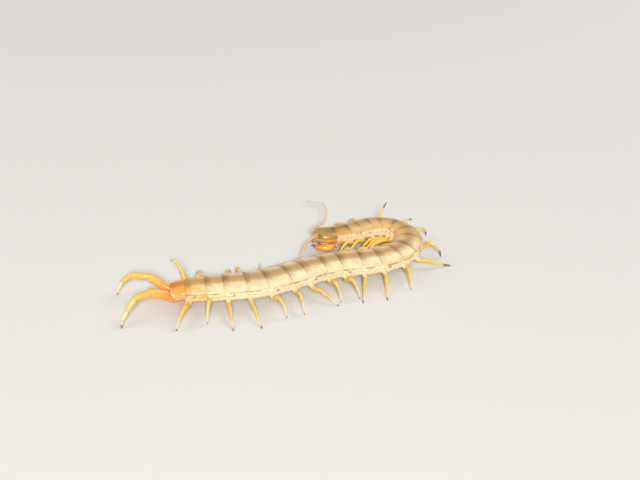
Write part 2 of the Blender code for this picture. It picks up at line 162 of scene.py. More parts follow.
LENGTHS = [segment_length(number) for number in range(1, SEGMENTS + 1)]
LENGTH_SCALE = TRUNK_LENGTH / sum(LENGTHS)
JOINTS = [HEAD_LENGTH + LENGTH_SCALE * sum(LENGTHS[:number]) for number in range(SEGMENTS + 1)]
MIDDLES = [(front + back) / 2 for front, back in zip(JOINTS, JOINTS[1:])]
BODY_END = JOINTS[-1]
TRUNK_NODES = [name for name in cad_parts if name.startswith("trunk_")]

line_stops = np.arange(0.0, BODY_END + LINE_BEYOND, LINE_STEP)
body_line = guide("body line", [place(s, 0, AXIS_HEIGHT) for s in line_stops],
                  [-roll_at(s) for s in line_stops])


def span(number):
    """Where a segment starts and ends along the body."""
    return JOINTS[number - 1], JOINTS[number]


def width_share(s):
    """The trunk's width at s as a share of its greatest."""
    return size_at(WIDTH_AT, np.interp(s, MIDDLES, range(1, SEGMENTS + 1)))


def half_width(s):
    """From the middle line to the edge of the plates at s."""
    return width_share(s) * TRUNK_WIDTH / 2


def rise(s):
    """From the body's axis to the crest of its back at s."""
    return TRUNK_RISE * (1 - SLENDER_SHARE + SLENDER_SHARE * width_share(s))


# Horn of the plates
# The plates are thin, hard horn with a satin gloss: olive tan along the back, cream
# towards the sides, with a brown band at each hind edge and fine wrinkles.
PLATE_SIDE = (0.85, 0.685, 0.385)
FRONT_SIDE = (0.74, 0.43, 0.175)
FIRST_SIDE = (0.68, 0.33, 0.085)
LAST_SIDE = (0.86, 0.38, 0.06)
PINKISH = (0.87, 0.62, 0.44)
SPOT = (0.15, 0.09, 0.03)
BLACK = (0.0, 0.0, 0.0)
COAT_ROUGHNESS = 0.22
BLEED_COLOURS, BLEED_DEPTH = (1.0, 0.55, 0.25), 0.0008
REAR_BODY = (0.30, 0.50)       # where along the body the hind colours set in
WIDE_SIDES = ((0.0, 0.0), (0.18, 0.05), (0.48, 0.85), (0.76, 1.0))     # out from the crest
SLIM_SIDES = ((0.0, 0.05), (0.12, 0.15), (0.40, 0.85), (0.70, 1.0))
TINT_REACH = (0.15, 1.3)
HIND_BAND = ((0.0, 0.35), (0.10, 0.0), (0.60, 0.0), (0.90, 0.62), (0.95, 0.7), (1.0, 0.3))
BAND_SIDES = ((0.0, 1.0), (0.35, 0.9), (0.75, 0.12))
HIND_RIM = ((0.935, 0.0), (0.965, 0.55), (1.0, 0.2))
RIM_SIDES = ((0.0, 1.0), (0.4, 0.6), (0.8, 0.22))


def start_material(name, roughness, coat, bleed):
    """A material with its shader's even values set."""
    material = bpy.data.materials.new(name)
    material.use_nodes = True
    shader = material.node_tree.nodes["Principled BSDF"]
    shader.inputs["Roughness"].default_value = roughness
    shader.inputs["Coat Weight"].default_value = coat
    shader.inputs["Coat Roughness"].default_value = COAT_ROUGHNESS
    shader.inputs["Subsurface Weight"].default_value = bleed
    shader.inputs["Subsurface Radius"].default_value = BLEED_COLOURS
    shader.inputs["Subsurface Scale"].default_value = BLEED_DEPTH
    return material


def node(material, kind, **values):
    """A new node, with its properties and its inputs set by name."""
    made = material.node_tree.nodes.new(kind)
    for name, value in values.items():
        if hasattr(made, name):
            setattr(made, name, value)
        else:
            made.inputs[name.replace("_", " ")].default_value = value
    return made


def link(material, source, target):
    """Join an output to an input."""
    material.node_tree.links.new(source, target)


def straight_place(material):
    """The point's place in the straight animal, as its X, Y and Z."""
    read = node(material, "ShaderNodeAttribute", attribute_name="straight")
    parts = node(material, "ShaderNodeSeparateXYZ")
    link(material, read.outputs["Vector"], parts.inputs[0])
    return parts.outputs


def kept_value(material, name):
    """A value that the mesh keeps for each point."""
    return node(material, "ShaderNodeAttribute", attribute_name=name).outputs["Fac"]


def ramp(material, source, stops):
    """Colours along a value from 0 to 1."""
    made = node(material, "ShaderNodeValToRGB")
    made.color_ramp.interpolation = "EASE"
    while len(made.color_ramp.elements) < len(stops):
        made.color_ramp.elements.new(0.5)
    for element, (position, colour) in zip(made.color_ramp.elements, stops):
        element.position = position
        element.color = (*colour, 1.0)
    link(material, source, made.inputs["Fac"])
    return made.outputs["Color"]


def share_ramp(material, source, stops):
    """How much of a colour there is along a value, from none at 0 to all at 1."""
    return ramp(material, source, [(position, (share,) * 3) for position, share in stops])


def scaled(material, source, low, high):
    """A value brought to 0 at low and 1 at high."""
    made = node(material, "ShaderNodeMapRange")
    made.inputs["From Min"].default_value = low
    made.inputs["From Max"].default_value = high
    link(material, source, made.inputs["Value"])
    return made.outputs["Result"]


def size_of(material, source):
    """A value without its sign."""
    made = node(material, "ShaderNodeMath", operation="ABSOLUTE")
    link(material, source, made.inputs[0])
    return made.outputs[0]


def blended(material, factor, first, second, kind="MIX"):
    """Two colours mixed, by an output or by an even share."""
    made = node(material, "ShaderNodeMix", data_type="RGBA", blend_type=kind)
    if isinstance(factor, float):
        made.inputs["Factor"].default_value = factor
    else:
        link(material, factor, made.inputs["Factor"])
    for source, socket in ((first, made.inputs[6]), (second, made.inputs[7])):
        if isinstance(source, tuple):
            socket.default_value = (*source, 1.0)
        else:
            link(material, source, socket)
    return made.outputs[2]


def multiplied(material, first, second, amount=1.0):
    """One share cut down by another."""
    return blended(material, amount, first, second, "MULTIPLY")


def darker(colour, share):
    """A colour with a share of its light."""
    return tuple(share * channel for channel in colour)


def mottle(material, scale, detail=4.0, stretch=(1.0, 1.0, 1.0), low=0.35, high=0.65):
    """Soft spots in the object's own space, about 1 / scale metres across."""
    where = node(material, "ShaderNodeTexCoord")
    turned = node(material, "ShaderNodeMapping")
    turned.inputs["Scale"].default_value = stretch
    spots = node(material, "ShaderNodeTexNoise", Scale=scale, Detail=detail)
    link(material, where.outputs["Object"], turned.inputs["Vector"])
    link(material, turned.outputs["Vector"], spots.inputs["Vector"])
    return scaled(material, spots.outputs["Fac"], low, high)


def clouded(material, base, colour, scale, amount, detail=4.0, kind="MIX"):
    """A colour with soft clouds of another in it."""
    cloud = blended(material, mottle(material, scale, detail), base, colour, kind)
    return blended(material, amount, base, cloud)


def bumps(material, scale, distance, strength, detail=2.0, stretch=(1.0, 1.0, 1.0)):
    """Fine relief, about 1 / scale metres across."""
    made = node(material, "ShaderNodeBump", Strength=strength, Distance=distance)
    link(material, mottle(material, scale, detail, stretch), made.inputs["Height"])
    shader = material.node_tree.nodes["Principled BSDF"]
    link(material, made.outputs["Normal"], shader.inputs["Normal"])


def paint(material, colour):
    """Give the shader its colour."""
    link(material, colour, material.node_tree.nodes["Principled BSDF"].inputs["Base Color"])


def side_reach(material, out, rear):
    """How far up the colour of the sides reaches, with a ragged edge."""
    edge = blended(material, rear, share_ramp(material, out, SLIM_SIDES),
                   share_ramp(material, out, WIDE_SIDES))
    return blended(material, 0.35, edge, mottle(material, 520.0, detail=5.0), "OVERLAY")


def flecked(material, base, colour):
    """Small dark flecks in the horn."""
    flecks = mottle(material, 850.0, detail=6.0, low=0.52, high=0.72)
    return blended(material, blended(material, 0.55, flecks, BLACK), base, colour)


def banded(material, base, along, out, spot):
    """The worn brown band before a plate's hind edge and the fine dark rim at it."""
    band = multiplied(material, share_ramp(material, along, HIND_BAND),
                      share_ramp(material, out, BAND_SIDES))
    worn = mottle(material, 380.0, detail=3.0, low=0.25, high=0.6)
    base = blended(material, multiplied(material, band, worn, 0.8), base, spot)
    rim = multiplied(material, share_ramp(material, along, HIND_RIM),
                     share_ramp(material, out, RIM_SIDES))
    return blended(material, rim, base, darker(spot, 0.8))


def plate_horn(name, crown, side, front_side, spot, hind_tint=None):
    """Horn of a back plate; front_side is the colour its sides have near the head."""
    material = start_material(name, roughness=0.33, coat=0.35, bleed=0.12)
    along, across, _ = straight_place(material)
    out = size_of(material, across)
    rear = scaled(material, kept_value(material, "body"), *REAR_BODY)
    patchy = clouded(material, side, PINKISH, 240.0, 0.35, detail=3.0)
    flank = blended(material, rear, front_side, patchy)
    base = blended(material, side_reach(material, out, rear), crown, flank)
    if hind_tint:
        base = blended(material, scaled(material, along, *TINT_REACH), base, hind_tint)
    base = clouded(material, base, darker(crown, 0.62), 300.0, 0.22, detail=6.0)
    base = flecked(material, base, darker(side, 0.45))
    paint(material, banded(material, base, along, out, spot))
    bumps(material, 1100.0, distance=0.0001, strength=0.22, detail=4.0, stretch=(1.0, 1.0, 0.6))
    return material


plate_materials = {
    "first": plate_horn("horn of the first plate", crown=(0.42, 0.185, 0.04), side=FIRST_SIDE,
                        front_side=FIRST_SIDE, spot=SPOT),
    "back": plate_horn("horn of the back", crown=(0.51, 0.31, 0.105), side=PLATE_SIDE,
                       front_side=FRONT_SIDE, spot=SPOT),
    "tail": plate_horn("horn near the tail", crown=(0.50, 0.29, 0.09), side=(0.84, 0.58, 0.25),
                       front_side=FRONT_SIDE, spot=(0.26, 0.12, 0.03),
                       hind_tint=(0.78, 0.35, 0.07)),
    "last": plate_horn("horn of the last plate", crown=(0.68, 0.20, 0.02), side=LAST_SIDE,
                       front_side=LAST_SIDE, spot=(0.50, 0.13, 0.015))}

# Back plates
# One thin arched plate covers each segment. Its front edge is tucked under the
# plate before, two fine seams run along it, and its hind and side edges are rolled.
ARC_POINTS = 72
ARC_MIDDLE = 0.40              # the arc's own centre, as a share of the rise
ARC_FOOT = 0.16                # how far above that centre the side edges end
PLATE_STATIONS = ((-0.10, 0.935), (0.0, 0.955), (0.06, 0.965), (0.16, 0.978), (0.35, 0.99),
                  (0.60, 0.998), (0.80, 1.001), (0.91, 1.004), (0.96, 1.008), (0.985, 1.009),
                  (1.005, 1.0))
FIRST_STATIONS = ((-0.13, 0.885), (0.0, 0.893), (0.06, 0.905), (0.16, 0.928), (0.35, 0.962),
                  (0.60, 0.988), (0.80, 0.998), (0.91, 1.003), (0.96, 1.008), (0.985, 1.009),
                  (1.005, 1.0))
LAST_STATIONS = ((-0.10, 1.05), (0.0, 1.06), (0.06, 1.065), (0.16, 1.06), (0.35, 1.03),
                 (0.60, 0.97), (0.80, 0.90), (0.91, 0.855), (0.96, 0.835), (0.985, 0.822),
                 (1.005, 0.81))
TAPER_SHARES = (0.0, 0.5, 1.0)
TAPERS = {19: (1.0, 1.0, 0.98), 20: (1.02, 0.99, 0.90)}    # girth of plates that narrow behind
PLATE_THICKNESS = 0.028        # on a plate one unit long and one unit to each side
RIM_FLARE, RIM_HEIGHT = 1.022, 0.04
SEAM_PLACE = 0.27
SEAM_WIDTH, SEAM_DEPTH = 0.014, 0.022
SEAM_REACH, SEAM_ENDS = (0.05, 0.94), (0.05, 0.03)
SEAM_RING = 0.80               # the station whose points tell where a row of edges runs
ROW_STRAY, ROW_MEAN = 0.07, 0.99           # how far a row strays from there, and its mean
CORNER_ROUND, LAST_CORNER_ROUND, FRONT_CORNER_ROUND = 0.085, 0.30, 0.051
CORNER_FROM, LAST_CORNER_FROM = 0.78, 0.1      # out from the middle
CRISP_ANGLE = 35.0


def settle(piece, slot, *nodes):
    """Bring a finished piece from millimetres to metres and tell the frame about it."""
    piece.data.transform(Matrix.Scale(MM, 4))
    piece.data.update()
    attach(piece, "root")
    if nodes:
        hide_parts(*nodes)


def only_active(piece):
    """Select one object alone."""
    bpy.ops.object.select_all(action="DESELECT")
    piece.select_set(True)
    bpy.context.view_layer.objects.active = piece


def pick(piece, kind, test):
    """In edit mode, select what has all its corners pass a test."""
    bpy.ops.object.mode_set(mode="EDIT")
    bpy.ops.mesh.select_all(action="DESELECT")
    bpy.ops.mesh.select_mode(type=kind)
    bpy.ops.object.mode_set(mode="OBJECT")
    data = piece.data
    corners = [vertex.co for vertex in data.vertices]
    if kind == "VERT":
        for vertex in data.vertices:
            vertex.select = bool(test(vertex.co))
    else:
        for item in (data.edges if kind == "EDGE" else data.polygons):
            item.select = all(test(corners[index]) for index in item.vertices)
    bpy.ops.object.mode_set(mode="EDIT")


def added(add, squash=None, **values):
    """A new shape from one of Blender's own tools, with its place in its mesh."""
    bpy.ops.object.select_all(action="DESELECT")
    add(**values)
    if squash:
        bpy.context.object.scale = squash
    bpy.ops.object.transform_apply(location=True, rotation=True, scale=True)
    return bpy.context.object


def first_ring(name, points, outline, station, fill):
    """A ring across +X to sweep from; outline gives side and height at a turn."""
    x, wide, high, centre = station
    made = added(bpy.ops.mesh.primitive_circle_add, vertices=points, radius=1.0, fill_type=fill,
                 location=(x, 0, 0), rotation=(0.0, math.pi / 2, 0.0))
    made.name = made.data.name = name
    for vertex in made.data.vertices:
        side, height = outline(math.atan2(vertex.co.y, vertex.co.z))
        vertex.co = (x, side * wide, centre + height * high)
    bpy.ops.object.mode_set(mode="EDIT")
    return made


def sweep(stations):
    """Extrude what is selected from station to station and resize each new end."""
    for (x0, wide0, high0, z0), (x1, wide1, high1, z1) in zip(stations, stations[1:]):
        bpy.ops.mesh.extrude_region_move(TRANSFORM_OT_translate={"value": (x1 - x0, 0, z1 - z0)})
        bpy.ops.transform.resize(value=(1.0, wide1 / wide0, high1 / high0),
                                 center_override=(x1, 0.0, z1))


def arch(name, points, outline, foot, stations):
    """An open arched plate along +X, without what lies below foot."""
    made = first_ring(name, points, outline, stations[0], "NOTHING")
    pick(made, "VERT", lambda point: point.z < foot)
    bpy.ops.mesh.delete(type="VERT")
    bpy.ops.mesh.select_all(action="SELECT")
    sweep(stations)
    bpy.ops.mesh.select_all(action="SELECT")
    bpy.ops.mesh.normals_make_consistent(inside=False)
    return made


def soften(piece, levels=1):
    """Round a form off by subdivision."""
    soft = piece.modifiers.new("smooth", "SUBSURF")
    soft.levels = soft.render_levels = levels
    apply_modifiers(piece)


def thicken(piece, thickness):
    """Leave edit mode with a wall under the arch and soft edges."""
    bpy.ops.object.mode_set(mode="OBJECT")
    top = max(piece.data.polygons, key=lambda face: face.center.z)
    if top.normal.z < 0:
        piece.data.flip_normals()
    wall = piece.modifiers.new("thickness", "SOLIDIFY")
    wall.thickness = thickness
    wall.offset = -1.0
    soften(piece)


def places_of(piece):
    """The points of a mesh as rows of X, Y and Z."""
    values = np.zeros(len(piece.data.vertices) * 3, np.float32)
    piece.data.vertices.foreach_get("co", values)
    return values.reshape(-1, 3)


def move_to(piece, values):
    """Put the points of a mesh somewhere else."""
    piece.data.vertices.foreach_set("co", np.asarray(values, np.float32).ravel())
    piece.data.update()


def keep_value(piece, name, values):
    """Keep a value for each point on the mesh."""
    mark = piece.data.attributes.new(name, "FLOAT", "POINT")
    mark.data.foreach_set("value", values.astype(np.float32))


def mark_straight(piece, body=0.0):
    """Keep each point's straight place on the mesh, and its share of the body's length."""
    mark = piece.data.attributes.new("straight", "FLOAT_VECTOR", "POINT")
    mark.data.foreach_set("vector", places_of(piece).ravel())
    keep_value(piece, "body", np.full(len(piece.data.vertices), body))


def plate_outline(turn):
    """The arc of a back plate: half an ellipse set high on the body."""
    return math.sin(turn), ARC_MIDDLE + (1 - ARC_MIDDLE) * math.cos(turn)


def groove(plate, side):
    """Press a fine seam into an arched plate along the row of edges nearest to side."""
    bpy.ops.object.mode_set(mode="OBJECT")
    ring = [vertex.co.y for vertex in plate.data.vertices if abs(vertex.co.x - SEAM_RING) < 0.01]
    row = min(ring, key=lambda y: abs(y - side))
    front, back = SEAM_REACH
    pick(plate, "EDGE", lambda point: abs(point.y - row) < ROW_STRAY * abs(row)
         and front < point.x < back)
    bpy.ops.mesh.bevel(offset=SEAM_WIDTH, segments=2)
    pick(plate, "VERT", lambda point: abs(point.y - row * ROW_MEAN) < 0.5 * SEAM_WIDTH
         and front + SEAM_ENDS[0] < point.x < back - SEAM_ENDS[1])
    bpy.ops.transform.translate(value=(0.0, 0.0, -SEAM_DEPTH))


def unit_plate(name, girths, seams=(), hind_round=CORNER_ROUND, round_from=CORNER_FROM):
    """A back plate one unit long, one unit to each side and one unit high."""
    foot = ARC_MIDDLE + (1 - ARC_MIDDLE) * ARC_FOOT
    plate = arch(name, ARC_POINTS, plate_outline, foot,
                 [(x, girth, girth, 0.0) for x, girth in girths])
    for side in seams:
        groove(plate, side)
    pick(plate, "VERT", lambda point: point.z < foot + RIM_HEIGHT)
    bpy.ops.transform.resize(value=(1.0, RIM_FLARE, 1.0), center_override=(0, 0, 0))
    thicken(plate, PLATE_THICKNESS)
    points = places_of(plate)
    along, out = points[:, 0], np.abs(points[:, 1])
    hind = np.interp(out, (round_from, 1.0), (0, 1)) ** 2 * np.interp(along, (0.5, 1.0), (0, 1))
    front = np.interp(out, (CORNER_FROM, 1.0), (0, 1)) ** 2 * np.interp(along, (0.0, 0.3), (1, 0))
    points[:, 0] += FRONT_CORNER_ROUND * front - hind_round * hind
    move_to(plate, points)
    return plate


def copy_of(pattern, name):
    """A copy of a modelled piece with a mesh of its own."""
    made = pattern.copy()
    made.data = pattern.data.copy()
    made.name = made.data.name = name
    bpy.context.collection.objects.link(made)
    return made


def fit_to_segment(plate, number, half, high, height=0.0):
    """Mark a unit plate and stretch it over its segment."""
    front, back = span(number)
    mark_straight(plate, MIDDLES[number - 1] / BODY_END)
    size = Matrix.Diagonal((back - front, half, high, 1))
    plate.data.transform(Matrix.Translation((front, 0, height)) @ size)


def finish_shell(piece, material, angle):
    """One material, and smooth shading where faces meet at less than an angle."""
    piece.data.materials.clear()
    piece.data.materials.append(material)
    only_active(piece)
    bpy.ops.object.shade_smooth_by_angle(angle=math.radians(angle))


def dress(piece, material, angle, slot, *nodes):
    """Bend a straight piece with the body, shade it and settle it."""
    bend(piece, body_line)
    finish_shell(piece, material, angle)
    settle(piece, slot, *nodes)


seamed_plate = unit_plate("seamed plate", PLATE_STATIONS, (-SEAM_PLACE, SEAM_PLACE))
plain_plate = unit_plate("plain plate", PLATE_STATIONS)
first_plate = unit_plate("first plate", FIRST_STATIONS)
last_plate = unit_plate("last plate", LAST_STATIONS, (), LAST_CORNER_ROUND, LAST_CORNER_FROM)
plate_patterns = {1: first_plate, 2: plain_plate, 3: plain_plate, SEGMENTS: last_plate}
plate_kinds = {1: "first", SEGMENTS - 1: "tail", SEGMENTS: "last"}
for number, middle in enumerate(MIDDLES, 1):
    plate = copy_of(plate_patterns.get(number, seamed_plate), f"back_plate_{number:02d}")
    fit_to_segment(plate, number, half_width(middle), rise(middle))
    if number in TAPERS:
        front, back = span(number)
        points = places_of(plate)
        shares = (points[:, 0] - front) / (back - front)
        points[:, 1:] *= np.interp(shares, TAPER_SHARES, TAPERS[number])[:, None]
        move_to(plate, points)
    dress(plate, plate_materials[plate_kinds.get(number, "back")], CRISP_ANGLE,
          "end_shell" if number == SEGMENTS else "plate_shell")
for pattern in (seamed_plate, plain_plate, first_plate, last_plate):
    bpy.data.objects.remove(pattern)

# Soft skin of the flanks
# Between back and belly plates the body is closed by soft, folded skin, pinkish
# cream, drawn in at each joint and swollen round the roots of the legs.
SKIN_POINTS, SKIN_RINGS = 60, 13
SKIN_SIDE, SKIN_TOP, SKIN_LOW = 0.95, 0.93, 0.66       # as shares of half width and rise
FLANK_POWER, UNDER_POWER = 0.4, 1.05                   # steep flanks over a flat underside
SKIN_GIRTHS = ((0.0, 0.90), (0.05, 0.925), (0.12, 0.945), (0.28, 0.965), (0.52, 0.98),
               (0.78, 0.975), (0.88, 0.96), (0.95, 0.935), (1.0, 0.90))
SKIN_FRONT = (-0.6, 0.86)      # where it starts before the first joint, and its girth there
SKIN_CLOSING = ((-0.15, 0.88), (0.1, 0.6))             # the same about the body's end
END_TAPER, TAPER_FROM = 0.80, 0.4                      # how the last segment narrows behind
LEG_STATION = 0.84             # where a leg sits along its segment
ROOT_HEIGHT = -0.30
BULGE_LENGTH, BULGE_HEIGHT, BULGE_OUT = 1.7, 1.3, 0.11
FOLDS = ((0.36, 0.045, 0.06), (0.03, 0.022, 0.05))     # height, depth and width
SCUTES = ((-2.0, -0.26, 0.75, 0.19), (-1.35, 0.15, 0.85, 0.10), (0.25, 0.15, 0.75, 0.10),
          (1.0, -0.30, 0.35, 0.16))        # place from the leg, and half length and height
SCUTE_RAISE = 0.034
CREASES = ((0.0, 0.0, 0.055), (1.9, 0.9, 0.028), (3.4, -0.7, 0.022))   # back, slant and depth
CREASE_WIDTH = 0.21
CRUMPLE_SIZE, CRUMPLE_DEPTH, CRUMPLE_LEVEL = 1.0, 0.20, 0.62
SKIN_SHADES = ((0.0, (0.80, 0.42, 0.17)), (0.13, (0.87, 0.60, 0.37)), (0.30, (0.87, 0.61, 0.38)),
               (0.44, (0.87, 0.68, 0.46)), (0.85, (0.87, 0.70, 0.46)),
               (0.93, (0.82, 0.42, 0.13)), (1.0, (0.80, 0.26, 0.04)))
PALE_SKIN = (0.90, 0.74, 0.50)
SCUTE_HORN = (0.80, 0.52, 0.16)
# The broken dark line just under the plates' edges is painted shadow.
UNDER_PLATE_SHADOW = (0.30, 0.17, 0.08)
SHADOW_LINE_REACH = ((0.0, 0.0), (0.25, 0.0), (0.36, 0.8), (0.5, 0.5))        # under the plates
ROUND_ANGLE = 60.0


def skin_outline(turn):
    """Side and height of the skin's section, turn running from the crest round it."""
    side, up = math.sin(turn), math.cos(turn)
    if up > 0:
        return SKIN_SIDE * side, ARC_MIDDLE + (SKIN_TOP - ARC_MIDDLE) * up
    flank = math.copysign(abs(side) ** FLANK_POWER, side)
    return SKIN_SIDE * flank, ARC_MIDDLE - (ARC_MIDDLE + SKIN_LOW) * abs(up) ** UNDER_POWER


def leg_station(number):
    """Where a leg is set along the body."""
    front, back = span(number)
    return front + LEG_STATION * (back - front)


def bar(name, points, outline, stations):
    """A closed body along +X; stations are (x, half width, half height, centre height)."""
    made = first_ring(name, points, outline, stations[0], "NGON")
    bpy.ops.mesh.select_all(action="SELECT")
    sweep(stations)
    bpy.ops.mesh.select_all(action="SELECT")
    bpy.ops.mesh.normals_make_consistent(inside=False)
    bpy.ops.object.mode_set(mode="OBJECT")
    return made


def swell_flanks(skin):
    """Swellings, scutes, long folds and creases of the flanks, and marks that tell of them."""
    points = places_of(skin)
    x, y, z = points.T
    wide = np.interp(x, line_stops, [half_width(s) for s in line_stops])
    high = np.interp(x, line_stops, [rise(s) for s in line_stops])
    push, scute = np.zeros(len(x)), np.zeros(len(x))
    for number in range(1, SEGMENTS):
        behind = x - leg_station(number)
        up = (z / high - ROOT_HEIGHT) * high / BULGE_HEIGHT
        push += BULGE_OUT * np.exp(-(behind / BULGE_LENGTH) ** 2 - up ** 2)
        for back, level, half_long, half_high in SCUTES:
            oval = ((behind - back) / half_long) ** 2 + ((z / high - level) / half_high) ** 2
            scute = np.maximum(scute, np.exp(-oval ** 4))
    push += SCUTE_RAISE * scute
    for level, depth, width in FOLDS:
        push -= depth * np.exp(-((z / high - level) / width) ** 2)
    for joint in JOINTS[:-1]:
        for back, slant, depth in CREASES:
            line = (x - joint - back - slant * z / high) / CREASE_WIDTH
            push -= depth * np.exp(-line ** 2)
    flank = np.interp(np.abs(y) / wide, (0.5, 0.8), (0, 1))
    points[:, 1] += np.sign(y) * wide * push * flank
    move_to(skin, points)
    keep_value(skin, "scute", scute * (flank > 0.5))
    keep_value(skin, "level", z / high)


def crumple(skin):
    """Soft irregular folds all over."""
    lumps = bpy.data.textures.new("folds", "CLOUDS")
    lumps.noise_scale = CRUMPLE_SIZE
    lumps.noise_depth = 2
    folds = skin.modifiers.new("folds", "DISPLACE")
    folds.texture = lumps
    folds.texture_coords = "LOCAL"
    folds.strength = CRUMPLE_DEPTH
    folds.mid_level = CRUMPLE_LEVEL
    apply_modifiers(skin)
    bpy.data.textures.remove(lumps)


def flank_skin_material():
    """Pinkish cream skin with a broken line of painted shadow under the plates."""
    material = start_material("skin of the flanks", roughness=0.42, coat=0.2, bleed=0.3)
    along, _, _ = straight_place(material)
    shade = ramp(material, scaled(material, along, 0.0, BODY_END), SKIN_SHADES)
    shade = clouded(material, shade, PALE_SKIN, 500.0, 0.6)
    horn = blended(material, 0.65, shade, SCUTE_HORN)
    shade = blended(material, kept_value(material, "scute"), shade, horn)
    # A broken line of painted shadow, where the plates' edges shade the skin.
    line = share_ramp(material, kept_value(material, "level"), SHADOW_LINE_REACH)
    gaps = mottle(material, 260.0, detail=3.0, stretch=(1, 1, 0.3), low=0.44, high=0.58)
    paint(material, blended(material, multiplied(material, line, gaps), shade, UNDER_PLATE_SHADOW))
    bumps(material, 1400.0, distance=0.0002, strength=0.4, detail=5.0)
    return material


def skin_station(s, girth):
    """A station of the trunk's skin."""
    return s, half_width(s) * girth, rise(s) * girth, 0.0


skin_stations = [skin_station(JOINTS[0] + SKIN_FRONT[0], SKIN_FRONT[1])]
for front, back in zip(JOINTS, JOINTS[1:]):
    taper = END_TAPER if back == BODY_END else 1.0
    for share in np.arange(SKIN_RINGS) / SKIN_RINGS:
        girth = size_at(SKIN_GIRTHS, share) * np.interp(share, (TAPER_FROM, 1.0), (1.0, taper))
        skin_stations.append(skin_station(front + share * (back - front), girth))
skin_stations += [skin_station(BODY_END + x, girth * END_TAPER) for x, girth in SKIN_CLOSING]
flank_skin = bar("flank_skin", SKIN_POINTS, skin_outline, skin_stations)
soften(flank_skin)
swell_flanks(flank_skin)
crumple(flank_skin)
mark_straight(flank_skin)
dress(flank_skin, flank_skin_material(), ROUND_ANGLE, "plate_shell", *TRUNK_NODES)

# Belly plates
# A flat plate under each segment, paler than the back, with two straight seams.
# The plates are of the same thin horn and lie in the skin of the belly.
BELLY_SIDE, BELLY_TOP, BELLY_DEPTH = 0.60, -0.52, 0.185
LAST_BELLY_SIDE = 0.30         # between the hips
BELLY_POINTS = 40
BELLY_STATIONS =((0.03, 0.78), (0.06, 0.88), (0.15, 0.93), (0.5, 1.0), (0.85, 0.97),
                  (0.94, 0.92), (0.98, 0.80))
BELLY_SIDE_POWER, BELLY_TOP_POWER = 0.35, 0.6          # how square its section is
BELLY_SEAM, BELLY_SEAM_WIDTH, BELLY_SEAM_DEPTH = 0.42, 0.05, 0.5
BELLY_SHADES = ((0.0, (0.60, 0.40, 0.18)), (0.2, (0.80, 0.60, 0.34)), (0.8, (0.78, 0.56, 0.30)),
                (1.0, (0.52, 0.30, 0.12)))
PALE_BELLY = (0.82, 0.62, 0.38)
FRONT_BELLY, FRONT_BELLY_REACH = (0.80, 0.42, 0.15), (0.34, 0.04)
HIND_BELLY, HIND_BELLY_REACH = (0.80, 0.30, 0.05), (0.90, 0.98)


def fuse(pieces, name):
    """Make several objects one."""
    only_active(pieces[0])
    for piece in pieces:
        piece.select_set(True)
    bpy.ops.object.join()
    pieces[0].name = name
    return pieces[0]


def belly_material():
    """Pale horn of the belly, more orange in front and at the tail."""
    material = start_material("horn of the belly", roughness=0.36, coat=0.3, bleed=0.2)
    along, _, _ = straight_place(material)
    shade = ramp(material, along, BELLY_SHADES)
    shade = blended(material, mottle(material, 600.0), shade, PALE_BELLY)
    body = kept_value(material, "body")
    shade = blended(material, scaled(material, body, *FRONT_BELLY_REACH), shade, FRONT_BELLY)
    shade = blended(material, scaled(material, body, *HIND_BELLY_REACH), shade, HIND_BELLY)
    paint(material, shade)
    return material


def belly_outline(turn):
    """A flat slab with rounded edges."""
    side, up = math.sin(turn), math.cos(turn)
    return (math.copysign(abs(side) ** BELLY_SIDE_POWER, side),
            math.copysign(abs(up) ** BELLY_TOP_POWER, up))


slab = bar("belly slab", BELLY_POINTS, belly_outline,
           [(x, wide, 1.0, 0.0) for x, wide in BELLY_STATIONS])
soften(slab)
points = places_of(slab)
for side in (-BELLY_SEAM, BELLY_SEAM):
    seam = np.exp(-((points[:, 1] - side) / BELLY_SEAM_WIDTH) ** 2)
    points[:, 2] += np.where(points[:, 2] < 0, BELLY_SEAM_DEPTH, 0) * seam
move_to(slab, points)
belly_plates = []
for number, middle in enumerate(MIDDLES, 1):
    plate = copy_of(slab, f"belly_plate_{number:02d}")
    wide = (LAST_BELLY_SIDE if number == SEGMENTS else BELLY_SIDE) * half_width(middle)
    fit_to_segment(plate, number, wide, BELLY_DEPTH / 2 * rise(middle),
                   (BELLY_TOP - BELLY_DEPTH / 2) * rise(middle))
    belly_plates.append(plate)
bpy.data.objects.remove(slab)
dress(fuse(belly_plates, "belly_plates"), belly_material(), CRISP_ANGLE, "plate_shell")

# Head shield
# A rounded, shallow shield of smooth horn covers the head, amber in front and olive
# behind. It is a thin shell, and its side edges reach down over the cheeks.
HEAD_MIDDLE = 5.05 - AXIS_HEIGHT
HEAD_POINTS = 64
HEAD_PLATE =((0.12, 0.9, 0.42), (0.3, 1.45, 0.72), (0.6, 2.0, 0.98), (1.0, 2.5, 1.18),
              (1.5, 2.98, 1.36), (2.1, 3.4, 1.51), (2.7, 3.72, 1.63), (3.4, 4.0, 1.75),
              (4.2, 4.19, 1.84), (5.0, 4.25, 1.89), (5.9, 4.2, 1.89), (6.8, 4.08, 1.84),
              (7.5, 3.90, 1.74), (7.8, 3.78, 1.69), (8.0, 3.72, 1.66), (8.15, 3.66, 1.63))
HEAD_BEND = 2.6                # how boxy its section is; 2 is round
HEAD_EDGE = HEAD_MIDDLE - 0.105
HEAD_WALL = 0.12
CHEEK_REACH = (1.5, 4.3)       # where to each side its edges turn light
CHEEK_SHARES = ((0.0, 0.0), (1.0, 0.55))


def head_outline(turn):
    """The section of the head: rounder than a box, boxier than an ellipse."""
    side, up = math.sin(turn), math.cos(turn)
    reach = (abs(side) ** HEAD_BEND + abs(up) ** HEAD_BEND) ** (-1 / HEAD_BEND)
    return side * reach, up * reach


